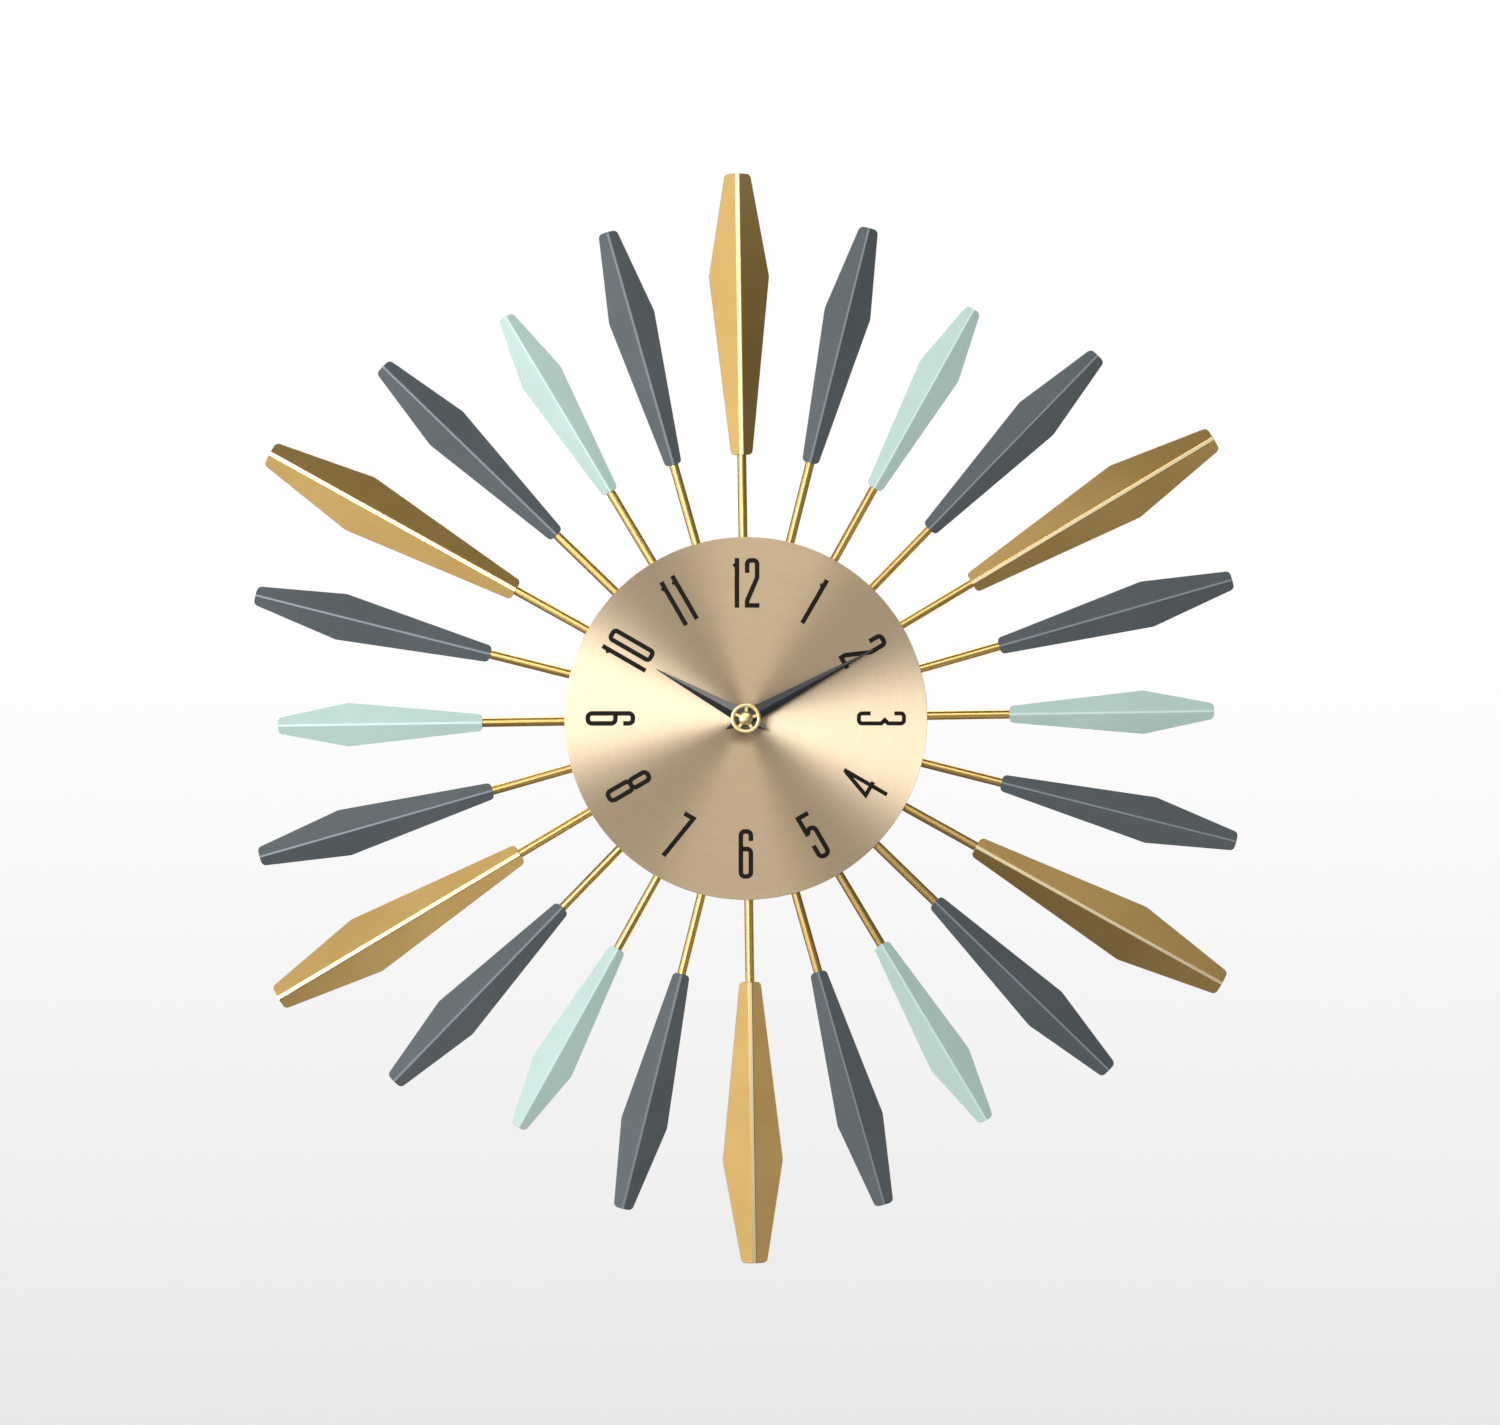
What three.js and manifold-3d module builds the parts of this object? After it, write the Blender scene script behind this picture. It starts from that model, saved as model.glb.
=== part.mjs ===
// Sunburst wall clock: 24 folded metal blades on gold rods round a brushed dial, with a quartz movement behind.
//
// Frame: +X points to 3 o'clock, +Z to 12 o'clock, and the dial faces -Y. The origin lies on the hand axis, in the
// plane of the wall. Depths are written as distances in front of the wall, so a depth d lies at y = -d.
// Sizes are in millimetres. Angles in the face are counter-clockwise from 3 o'clock.

import * as THREE from 'three';
import { mergeVertices } from 'three/addons/utils/BufferGeometryUtils.js';
import Module from 'manifold-3d';

const wasm = await Module();
wasm.setup();

// ---------------------------------------------------------------------------------------------- driving dimensions

const degree = Math.PI / 180;

// Star of rods and blades
const rayCount = 24;
const starTurn = 0.9 * degree; // the star sits a little counter-clockwise of the numbers
const rodRadius = 2.5;
const rodStart = 48; // inner rod ends, clear of the movement's corners
const bladeStart = 147.5; // base of every blade
const rodSeat = 45; // length of rod inside a blade
const weldSink = 0.3; // depth of the weld between a rod and the hub plate

// Blades: sheet metal folded along the middle
const bladeSheet = 0.8;
const bladeFold = 28 * degree; // slope of each half, away from the plane of the face
const bladeBend = 1.6; // inside radius of the fold
const bladeCorner = 2.6;
const bladeShoulder = 7; // rounding at the widest place
const bladeGap = 0.15; // air between a rod and the sheet round it
const bladeStyles = {
  gold: { reach: 305, widestAt: 248, width: 34, baseWidth: 12, tipWidth: 14.4 },
  slate: { reach: 283, widestAt: 234, width: 26.6, baseWidth: 9.4, tipWidth: 10.6 },
  mint: { reach: 262, widestAt: 223, width: 24.6, baseWidth: 9.4, tipWidth: 8.8 },
};
const rayPattern = ['gold', 'slate', 'mint', 'slate'];

// Dial, hub plate and gasket
const dialRadius = 101.5;
const dialThickness = 1;
const dialOverhang = 13.5; // the dial reaches this far past the hub plate
const hubThickness = 1.5;
const gasketRadius = 18;
const gasketThickness = 1;

// Threaded bushing, washer and nut
const bushingRadius = 4;
const bushingFlange = 6;
const bushingFlangeThickness = 0.75;
const bushingStandOut = 1; // thread left in front of the nut
const boltClearance = 0.1;
const washerRadius = 8;
const washerThickness = 0.5;
const nutAcrossFlats = 11;
const nutThickness = 2;

// Hanger bracket
const hangerSheet = 1;
const hangerWidth = 26;
const hangerBelowAxis = 10;
const hangerRise = 18; // top of the nail plate above the movement
const hangerGap = 0.3; // air between the bracket and the top of the case
const hangerStandOff = 3; // back of the nail plate, in front of the wall
const hangerCorner = 3;
const nailHeadRadius = 5;
const nailSlotWidth = 5;
const nailSlotRise = 7; // top of the slot above the middle of the keyhole
const nailSlotMargin = 3; // sheet left above the slot

// Battery, size AA
const batteryRadius = 7.25;
const batteryLength = 50.5;
const batteryNubRadius = 2.75;
const batteryNubLength = 1.2;
const batteryEdge = 0.5;
const batteryRecess = 0.35; // back of the battery, in front of the wall
const batteryClearance = 0.15; // air in front of the battery
const batterySideClearance = 0.45;

// Battery contacts
const positiveRoom = 1;
const negativeRoom = 2.1;
const contactSheet = 0.4;
const contactWidth = 9;
const contactWallGap = 0.2;
const contactTouchGap = 0.1;

// Movement case
const caseWall = 1.2;
const caseFrontWall = 1.5;
const caseCorner = 3;
const bayDivider = 1;
const roomClearance = 0.38; // air below the centre wheel
const coverThickness = 1.2;
const postRadius = 2;
const postInset = 2.5;
const plateThickness = 0.8;
const plateEdgeGap = 0.4;

// Tubes, arbors and bearings
const minuteTubeRadius = 1.6;
const minuteTubeBore = 0.7;
const hourTubeWall = 0.7;
const tubeClearance = 0.2;
const arborRadius = 0.4;
const settingArborRadius = 0.9;
const pivotClearance = 0.15;
const pivotDepth = 0.6; // length of an arbor inside its bearing
const bearingRadius = 1.2;
const bearingHeight = 1.1;

// Gear train: teeth, distances between arbors, and directions from one arbor to the next
const teeth = {
  rotorPinion: 8, stepWheel: 48, stepPinion: 8, secondsWheel: 40, secondsPinion: 8, thirdWheel: 60,
  thirdPinion: 8, centreWheel: 64, cannonPinion: 12, minuteWheel: 36, minutePinion: 10, hourWheel: 40,
};
const stepToAxis = 9.6;
const stepToRotor = 8.4;
const thirdToAxis = 11;
const minuteToAxis = 11.5;
const stepDirection = 120 * degree;
const rotorDirection = 140 * degree; // from the step wheel
const thirdDirection = 25 * degree;
const minuteDirection = 180 * degree;
const wheelThickness = 0.8;
const centreThickness = 0.6;
const springThickness = 0.3;
const springRadius = 3.2;
const layerGap = 0.5; // air between wheels that pass over each other
const endPlay = 0.3; // air between a wheel and the wall or plate beside it
const pinionOverhang = 0.1; // a pinion runs this far past its mating wheel

// Tooth proportions, as shares of the module or of the tooth pitch
const addendum = 0.8;
const dedendum = 1.1;
const toothAtRoot = 0.27;
const toothAtTip = 0.1;
const wheelTeeth = 20; // gears with more teeth than this have pointed ones

// Motor
const magnetRadius = 2.3;
const magnetLength = 2.4;
const magnetGap = 0.5; // air between the magnet and the stator
const motorGap = 0.9; // air between the magnet and the rotor's pinion
const statorThickness = 0.8;
const statorRim = 0.8; // narrowest metal beside the rotor hole
const statorLeg = 4;
const statorPosition = 3.9; // back face of the stator
const coilPlace = { x: -8, z: 21.6 };
const coilLength = 18;
const coilRadius = 3.4;
const coilBarrel = 2.2;
const coilFlange = { radius: 3.6, thickness: 0.8 };
const coilPlay = 0.2;
const coilTopGap = 1.6; // air above the coil
const coreHeight = 3;
const coreThickness = 0.8;
const screwRadius = 0.8;
const screwHead = { radius: 1.4, thickness: 0.8 };
const screwDepth = 1.5; // thread inside a pillar
const pillarRadius = 1.6;

// Circuit board
const board = { width: 12.6, height: 26, thickness: 1, back: 2.4, x: 19.4, z: 8.1 };
const boardPeg = { radius: 1.2, x: 4, z: 10 };
const chip = { radius: 3, height: 1.2, z: 3 };
const crystal = { radius: 1, length: 6, z: 15 };

// Setting knob in its cup on the rear cover
const knobRadius = 4.2;
const knobThickness = 1.9;
const knobRecess = 0.3; // back of the knob, in front of the wall
const knobCap = 0.5;
const knobRidges = 16;
const knobRidgeDepth = 0.3;
const cupClearance = 0.8;
const cupFloorGap = 0.4;
const cupWall = 1;

// Hands
const hourHand = { tip: 57, tail: 12.6, width: 9, angle: 151.2 * degree };
const minuteHand = { tip: 80.5, tail: 12.6, width: 9, angle: 28.4 * degree };
const handSheet = 0.4;
const handFold = 18 * degree;
const handBend = 0.2;
const handPoint = 0.6; // width of the blunt points
const handHubRadius = 6.8;
const handHubThickness = 0.6;
const handGap = 0.6; // air in front of a hand
const handFitClearance = 0.1;

// Spoked ring nut on the minute tube
const ringOuter = 8.5;
const ringInner = 6.15;
const ringThickness = 1.2;
const ringSpokes = 5;
const ringSpokeWidth = 1.8;
const ringSpokeThickness = 0.8;
const ringTurn = 3.5 * degree;
const buttonRadius = 3.85;
const buttonSide = 1.6;
const buttonDome = 1.4;

// ---------------------------------------------------------------------------------------------------- solid helpers

// Turns a three.js geometry into a solid that can be cut and joined.
function solid(geometry) {
  const bare = geometry.clone();
  bare.deleteAttribute('normal');
  bare.deleteAttribute('uv');
  const merged = mergeVertices(bare, 1e-4);
  const corners = merged.index.array;
  const kept = [];
  for (let i = 0; i < corners.length; i += 3) {
    const [a, b, c] = [corners[i], corners[i + 1], corners[i + 2]];
    if (a !== b && b !== c && c !== a) kept.push(a, b, c);
  }
  const vertProperties = Float32Array.from(merged.attributes.position.array);
  return new wasm.Manifold(new wasm.Mesh({ numProp: 3, vertProperties, triVerts: Uint32Array.from(kept) }));
}

const join = (...pieces) => pieces.reduce((whole, piece) => whole.add(piece));
const cut = (body, ...tools) => tools.reduce((rest, tool) => rest.subtract(tool), body);

function geometryOf(body) {
  const mesh = body.getMesh();
  const geometry = new THREE.BufferGeometry();
  geometry.setAttribute('position', new THREE.BufferAttribute(mesh.vertProperties, 3));
  geometry.setIndex(new THREE.BufferAttribute(mesh.triVerts, 1));
  return geometry;
}

const axis = { x: 0, z: 0 };

// A point in the plane of the face, at a radius and a direction from another.
function polar(radius, angle, from = axis) {
  return { x: from.x + radius * Math.cos(angle), z: from.z + radius * Math.sin(angle) };
}

// An outline in the plane of the face, made solid between two distances from the wall.
function slab(outline, back, front, arcSteps = 4) {
  const depth = front - back;
  const geometry = new THREE.ExtrudeGeometry(outline, { depth, bevelEnabled: false, curveSegments: arcSteps });
  return solid(geometry.rotateX(Math.PI / 2).translate(0, -back, 0));
}

// A profile of [radius, place] as a lathe geometry round Y, with places counted towards -Y and its faces outwards.
function lathe(profile, sides) {
  const points = profile.map(([radius, place]) => new THREE.Vector2(radius, -place));
  if (profile[0][0] > 0) points.push(points[0].clone());
  if (THREE.ShapeUtils.area(points) < 0) points.reverse();
  return new THREE.LatheGeometry(points, sides);
}

// A profile of [radius, distance from the wall] turned round an axis that is square to the face.
const turned = (profile, centre = axis, sides = 20) => solid(lathe(profile, sides).translate(centre.x, 0, centre.z));

// A profile of [radius, x] turned round an axis along X, at a distance from the wall and a height.
const spindle = (profile, depth, z, sides = 16) =>
  solid(lathe(profile, sides).rotateZ(Math.PI / 2).translate(0, -depth, z));

const disc = (radius, back, front, centre, sides) =>
  turned([[0, back], [radius, back], [radius, front], [0, front]], centre, sides);

const ring = (outer, inner, back, front, sides) =>
  turned([[inner, back], [outer, back], [outer, front], [inner, front]], axis, sides);

// A box between two corners in the face and two distances from the wall.
function block(low, high, back, front) {
  const geometry = new THREE.BoxGeometry(high.x - low.x, front - back, high.z - low.z);
  return solid(geometry.translate((low.x + high.x) / 2, -(back + front) / 2, (low.z + high.z) / 2));
}

const blockRound = (centre, width, height, back, front) => block(
  { x: centre.x - width / 2, z: centre.z - height / 2 },
  { x: centre.x + width / 2, z: centre.z + height / 2 }, back, front);

// A side view of [distance from the wall, z] points, made solid across a width that is centred on x = 0.
function strip(sideView, width) {
  const outline = new THREE.Shape(sideView.map(([depth, z]) => new THREE.Vector2(-depth, z)));
  const geometry = new THREE.ExtrudeGeometry(outline, { depth: width, bevelEnabled: false });
  const across = new THREE.Matrix4().makeBasis(
    new THREE.Vector3(0, 1, 0), new THREE.Vector3(0, 0, 1), new THREE.Vector3(1, 0, 0));
  return solid(geometry.translate(0, 0, -width / 2).applyMatrix4(across));
}

// A closed outline through corners of [x, z, radius], each rounded with an arc of its radius.
function roundedOutline(corners) {
  const shape = new THREE.Shape();
  corners.forEach(([x, z, radius], i) => {
    const corner = new THREE.Vector2(x, z);
    const before = new THREE.Vector2(...corners[(i + corners.length - 1) % corners.length]);
    const after = new THREE.Vector2(...corners[(i + 1) % corners.length]);
    const toBefore = before.sub(corner).normalize();
    const toAfter = after.sub(corner).normalize();
    const half = Math.acos(toBefore.dot(toAfter)) / 2;
    const inwards = toBefore.clone().add(toAfter).normalize();
    const centre = corner.clone().addScaledVector(inwards, radius / Math.sin(half));
    const start = corner.clone().addScaledVector(toBefore, radius / Math.tan(half)).sub(centre);
    const end = corner.clone().addScaledVector(toAfter, radius / Math.tan(half)).sub(centre);
    shape.absarc(centre.x, centre.y, radius, start.angle(), end.angle(), start.cross(end) < 0);
  });
  return shape;
}

const roundedBox = (low, high, radius) =>
  roundedOutline([[low.x, low.z, radius], [high.x, low.z, radius], [high.x, high.z, radius], [low.x, high.z, radius]]);

// Sheet folded along Z. Its section is a shallow V with a round fold, whose front lies at the distance apex.
function foldedStrip({ halfWidth, fold, sheet, bend, apex, low, high }) {
  const outer = bend + sheet;
  const centre = outer - apex;
  const edge = (radius) => centre - radius / Math.cos(fold) + halfWidth * Math.tan(fold);
  const left = -Math.PI / 2 - fold;
  const right = -Math.PI / 2 + fold;
  const section = new THREE.Shape();
  section.moveTo(-halfWidth, edge(outer));
  section.absarc(0, centre, outer, left, right, false);
  section.lineTo(halfWidth, edge(outer));
  section.lineTo(halfWidth, edge(bend));
  section.absarc(0, centre, bend, right, left, true);
  section.lineTo(-halfWidth, edge(bend));
  const geometry = new THREE.ExtrudeGeometry(section, { depth: high - low, bevelEnabled: false, curveSegments: 3 });
  return solid(geometry.translate(0, 0, low));
}

// -------------------------------------------------------------------------------------------------- scene and colour

const finishes = {
  gold: { color: 0xc39d55, metalness: 0.85, roughness: 0.38 },
  slate: { color: 0x4b5659, metalness: 0.2, roughness: 0.5 },
  mint: { color: 0xb5d3c8, metalness: 0.1, roughness: 0.5 },
  rodGold: { color: 0xcda550, metalness: 0.95, roughness: 0.25 },
  dialGold: { color: 0xcbb58a, metalness: 0.9, roughness: 0.35 },
  handBlack: { color: 0x16171a, metalness: 0.3, roughness: 0.35 },
  brass: { color: 0xd6b25e, metalness: 1, roughness: 0.25 },
  steel: { color: 0xb9bcc0, metalness: 1, roughness: 0.35 },
  rubber: { color: 0x1c1c1d, metalness: 0, roughness: 0.9 },
  casePlastic: { color: 0x1b1c1e, metalness: 0, roughness: 0.55 },
  gearPlastic: { color: 0xe9e6da, metalness: 0, roughness: 0.5 },
  knobPlastic: { color: 0x2a2b2e, metalness: 0, roughness: 0.5 },
  boardGreen: { color: 0x1f5a3a, metalness: 0, roughness: 0.5 },
  epoxy: { color: 0x0e0e0f, metalness: 0, roughness: 0.3 },
  copper: { color: 0xb06a3b, metalness: 0.9, roughness: 0.4 },
  battery: { color: 0x9a9da1, metalness: 0.6, roughness: 0.3 },
};

const clock = new THREE.Group();

function addPiece(name, finish, body, parent = clock) {
  const mesh = new THREE.Mesh(geometryOf(body), new THREE.MeshStandardMaterial(finishes[finish]));
  mesh.name = name;
  parent.add(mesh);
}

// A group turned clockwise from 12 o'clock, for a piece that is drawn pointing up.
function turnedGroup(angleFromTwelve) {
  const group = new THREE.Group();
  group.rotation.y = angleFromTwelve;
  clock.add(group);
  return group;
}

// ------------------------------------------------------------------------------------------------- stack of depths

// The case is as deep as its battery or its works, whichever needs more.
const magnetBack = statorPosition + (statorThickness - magnetLength) / 2;
const magnetFront = magnetBack + magnetLength;
const wheelStack = 5 * (wheelThickness + layerGap) + centreThickness + plateThickness + 2 * endPlay;
const worksDepth = magnetFront + motorGap + pinionOverhang + wheelStack;
const batteryDepthNeeded = batteryRecess + 2 * batteryRadius + batteryClearance;
const caseInside = Math.max(worksDepth, batteryDepthNeeded);
const caseFront = caseInside + caseFrontWall;
const hangerFront = caseFront + hangerSheet;
const hubBack = hangerFront + gasketThickness;
const hubFront = hubBack + hubThickness;
const dialFront = hubFront + dialThickness;
const washerFront = dialFront + washerThickness;
const nutFront = washerFront + nutThickness;
const bushingFront = nutFront + bushingStandOut;
const rodDepth = hubBack + weldSink - rodRadius; // distance of the rod axes from the wall
const boltHole = bushingRadius + boltClearance;
const overcut = 1; // how far a cutting tool runs past what it cuts

// ------------------------------------------------------------------------------------------------------------- star

const bladeApex = rodDepth + (rodRadius + bladeGap - bladeBend) / Math.cos(bladeFold) + bladeBend + bladeSheet;
const clockwiseTurn = (ray) => (ray * 2 * Math.PI) / rayCount - starTurn;

function spokeFrame() {
  const length = bladeStart + rodSeat - rodStart;
  const rod = new THREE.CylinderGeometry(rodRadius, rodRadius, length, 8).rotateX(Math.PI / 2);
  rod.translate(0, -rodDepth, rodStart + length / 2);
  const rods = Array.from({ length: rayCount }, (_, ray) => solid(rod.clone().rotateY(clockwiseTurn(ray))));
  return join(ring(dialRadius - dialOverhang, boltHole, hubBack, hubFront, 48), ...rods);
}

function blade({ reach, widestAt, width, baseWidth, tipWidth }) {
  const outline = roundedOutline([
    [-baseWidth / 2, bladeStart, bladeCorner], [baseWidth / 2, bladeStart, bladeCorner],
    [width / 2, widestAt, bladeShoulder],
    [tipWidth / 2, reach, bladeCorner], [-tipWidth / 2, reach, bladeCorner],
    [-width / 2, widestAt, bladeShoulder],
  ]);
  const sheet = foldedStrip({
    halfWidth: width, fold: bladeFold, sheet: bladeSheet, bend: bladeBend, apex: bladeApex,
    low: bladeStart - overcut, high: reach + overcut,
  });
  return sheet.intersect(slab(outline, -width, bladeApex + overcut, 2));
}

addPiece('spoke_frame', 'rodGold', spokeFrame());

const bladeSolids = {};
Object.entries(bladeStyles).forEach(([style, sizes]) => { bladeSolids[style] = blade(sizes); });
for (let ray = 0; ray < rayCount; ray += 1) {
  const style = rayPattern[ray % rayPattern.length];
  const hour = Math.floor(ray / 2) || 12;
  const place = ray % 2 === 0 ? `${hour}` : `${hour}_30`;
  addPiece(`${style}_blade_${place}`, style, bladeSolids[style], turnedGroup(clockwiseTurn(ray)));
}

// ------------------------------------------------------------------------------------------ dial and its fastening

addPiece('dial_plate', 'dialGold', ring(dialRadius, boltHole, hubFront, dialFront, 72));
addPiece('dial_washer', 'brass', ring(washerRadius, boltHole, dialFront, washerFront, 24));
addPiece('dial_nut', 'brass', cut(
  disc(nutAcrossFlats / Math.sqrt(3), washerFront, nutFront, axis, 6),
  disc(boltHole, washerFront - overcut, nutFront + overcut)));
addPiece('rubber_gasket', 'rubber', ring(gasketRadius, boltHole, hangerFront, hubBack, 28));

const hourTubeInner = minuteTubeRadius + tubeClearance;
const hourTubeOuter = hourTubeInner + hourTubeWall;
const bushingBore = hourTubeOuter + tubeClearance;
const flangeFront = caseInside + bushingFlangeThickness;
addPiece('threaded_bushing', 'brass', turned([
  [bushingBore, caseInside], [bushingFlange, caseInside], [bushingFlange, flangeFront],
  [bushingRadius, flangeFront], [bushingRadius, bushingFront], [bushingBore, bushingFront],
]));

// --------------------------------------------------------------------------------------------------- movement case

// Module of a pair of gears that meshes over a distance between arbors.
const moduleOf = (distance, driver, driven) => (2 * distance) / (teeth[driver] + teeth[driven]);
const modules = {
  rotor: moduleOf(stepToRotor, 'rotorPinion', 'stepWheel'),
  step: moduleOf(stepToAxis, 'stepPinion', 'secondsWheel'),
  seconds: moduleOf(thirdToAxis, 'secondsPinion', 'thirdWheel'),
  third: moduleOf(thirdToAxis, 'thirdPinion', 'centreWheel'),
  cannon: moduleOf(minuteToAxis, 'cannonPinion', 'minuteWheel'),
  minute: moduleOf(minuteToAxis, 'minutePinion', 'hourWheel'),
};

// The battery sets the width inside, the coil the top, and the centre wheel the floor above the battery bay.
const inner = (batteryLength + positiveRoom + negativeRoom) / 2;
const roomTop = coilPlace.z + coilFlange.radius + coilTopGap;
const roomFloor = -(teeth.centreWheel / 2 + addendum) * modules.third - roomClearance;
const bayTop = roomFloor - bayDivider;
const bayFloor = bayTop - 2 * (batteryRadius + batterySideClearance);
const bayMiddle = (bayTop + bayFloor) / 2;
const caseTop = roomTop + caseWall;
const caseLow = { x: -inner - caseWall, z: bayFloor - caseWall };
const caseHigh = { x: inner + caseWall, z: caseTop };
const bay = { low: { x: -inner, z: bayFloor }, high: { x: inner, z: bayTop } };
const room = { low: { x: -inner, z: roomFloor }, high: { x: inner, z: roomTop } };
const posts = [-1, 1].flatMap((side) => [
  { x: side * (inner - postInset), z: roomTop - postInset },
  { x: side * (inner - postInset), z: roomFloor + postInset }]);

// Arbors
const stepPlace = polar(stepToAxis, stepDirection);
const rotorPlace = polar(stepToRotor, rotorDirection, stepPlace);
const thirdPlace = polar(thirdToAxis, thirdDirection);
const minutePlace = polar(minuteToAxis, minuteDirection);

// Layers of the gear train, each named by the back face of its wheel
const hourLayer = caseInside - endPlay - wheelThickness;
const minuteLayer = hourLayer - layerGap - wheelThickness;
const centreLayer = minuteLayer - layerGap - centreThickness;
const plateFront = centreLayer - layerGap;
const plateBack = plateFront - plateThickness;
const thirdLayer = plateBack - endPlay - wheelThickness;
const secondsLayer = thirdLayer - layerGap - wheelThickness;
const stepLayer = secondsLayer - layerGap - wheelThickness;

const bearingFront = coverThickness + bearingHeight;
const arborBack = bearingFront - pivotDepth;
const pivotHole = arborRadius + pivotClearance;
const settingHole = settingArborRadius + pivotClearance;
const frontPivot = caseInside + pivotDepth;
const drill = (radius, back, front, place) => disc(radius, back, front, place, 10);

function movementCase() {
  const shell = slab(roundedBox(caseLow, caseHigh, caseCorner), coverThickness, caseFront);
  const hollow = [bay, room].map(({ low, high }) => block(low, high, coverThickness - overcut, caseInside));
  const supports = posts.map((place) => disc(postRadius, plateFront, caseInside + overcut, place, 12));
  const bearings = [thirdPlace, minutePlace].map((place) =>
    drill(pivotHole, caseInside - overcut, frontPivot + pivotClearance, place));
  return cut(
    join(cut(shell, ...hollow), ...supports), ...bearings,
    disc(boltHole, caseInside - overcut, caseFront + overcut),
    disc(bushingFlange + boltClearance, caseInside - overcut, flangeFront));
}

addPiece('movement_case', 'casePlastic', movementCase());

// ------------------------------------------------------------------------------------------------- hanger bracket

const hangerTop = caseTop + hangerRise;
const slotTop = hangerTop - nailSlotMargin;
const keyhole = { x: 0, z: slotTop - nailSlotRise };

function hangerBracket() {
  const shelf = caseTop + hangerGap;
  const nailPlateFront = hangerStandOff + hangerSheet;
  const bent = strip([
    [caseFront, -hangerBelowAxis], [hangerFront, -hangerBelowAxis], [hangerFront, shelf + hangerSheet],
    [nailPlateFront, shelf + hangerSheet], [nailPlateFront, hangerTop], [hangerStandOff, hangerTop],
    [hangerStandOff, shelf], [caseFront, shelf],
  ], hangerWidth);
  const low = { x: -hangerWidth / 2, z: -hangerBelowAxis };
  const high = { x: hangerWidth / 2, z: hangerTop };
  const outline = slab(roundedBox(low, high, hangerCorner), 0, hangerFront + overcut);
  const slotEnd = { x: 0, z: slotTop - nailSlotWidth / 2 };
  const slotSide = block({ x: -nailSlotWidth / 2, z: keyhole.z }, { x: nailSlotWidth / 2, z: slotEnd.z }, 0,
    nailPlateFront + overcut);
  return cut(
    bent.intersect(outline),
    join(disc(nailHeadRadius, 0, nailPlateFront + overcut, keyhole), slotSide,
      disc(nailSlotWidth / 2, 0, nailPlateFront + overcut, slotEnd)),
    disc(boltHole, caseFront - overcut, hangerFront + overcut));
}

addPiece('hanger_bracket', 'steel', hangerBracket());

// ----------------------------------------------------------------------------------------- motor: stator and coil

const statorFront = statorPosition + statorThickness;
const statorHole = magnetRadius + magnetGap;
const barHalf = statorHole + statorRim;
const spoolLength = coilLength + 2 * coilFlange.thickness;
const legReach = spoolLength / 2 + coilPlay + statorLeg / 2;
const legs = [-1, 1].map((side) => ({ x: coilPlace.x + side * legReach, z: coilPlace.z }));
const coreFront = statorFront + coreThickness;
const coilDepth = statorFront + coreThickness / 2;
const screwHole = screwRadius + boltClearance;

function stator() {
  const width = 2 * legReach + statorLeg;
  const low = rotorPlace.z - barHalf;
  const high = coilPlace.z + coreHeight / 2;
  const sheet = blockRound({ x: coilPlace.x, z: (low + high) / 2 }, width, high - low, statorPosition, statorFront);
  const back = statorPosition - overcut;
  const front = statorFront + overcut;
  const window = block({ x: legs[0].x + statorLeg / 2, z: rotorPlace.z + barHalf },
    { x: legs[1].x - statorLeg / 2, z: high + overcut }, back, front);
  return cut(sheet, window, disc(statorHole, back, front, rotorPlace, 24),
    ...legs.map((place) => drill(screwHole, back, front, place)));
}

function coilBobbin() {
  const half = spoolLength / 2;
  const inside = coilLength / 2;
  const at = (offset) => coilPlace.x + offset;
  const spool = spindle([
    [0, at(-half)], [coilFlange.radius, at(-half)], [coilFlange.radius, at(-inside)], [coilBarrel, at(-inside)],
    [coilBarrel, at(inside)], [coilFlange.radius, at(inside)], [coilFlange.radius, at(half)], [0, at(half)],
  ], coilDepth, coilPlace.z);
  return cut(spool, blockRound(coilPlace, spoolLength + overcut, coreHeight + 2 * coilPlay,
    statorFront - coilPlay, coreFront + coilPlay));
}

function coilWinding() {
  const half = coilLength / 2 - coilPlay;
  const inside = coilBarrel + coilPlay;
  return spindle([
    [inside, coilPlace.x - half], [coilRadius, coilPlace.x - half],
    [coilRadius, coilPlace.x + half], [inside, coilPlace.x + half],
  ], coilDepth, coilPlace.z);
}

function coilCore() {
  const bar = blockRound(coilPlace, 2 * legReach + statorLeg, coreHeight, statorFront, coreFront);
  return cut(bar, ...legs.map((place) => drill(screwHole, statorFront - overcut, coreFront + overcut, place)));
}

addPiece('stator', 'steel', stator());
addPiece('coil_bobbin', 'gearPlastic', coilBobbin());
addPiece('coil_winding', 'copper', coilWinding());
addPiece('coil_core', 'steel', coilCore());
['left', 'right'].forEach((side, i) => {
  const head = disc(screwHead.radius, coreFront, coreFront + screwHead.thickness, legs[i], 12);
  const thread = drill(screwRadius, statorPosition - screwDepth, coreFront + screwHead.thickness / 2, legs[i]);
  addPiece(`stator_screw_${side}`, 'steel', join(head, thread));
});

// --------------------------------------------------------------------------------------------------- circuit board

const boardFront = board.back + board.thickness;
const pegs = [-1, 1].map((side) => ({ x: board.x + side * boardPeg.x, z: board.z + side * boardPeg.z }));

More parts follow.
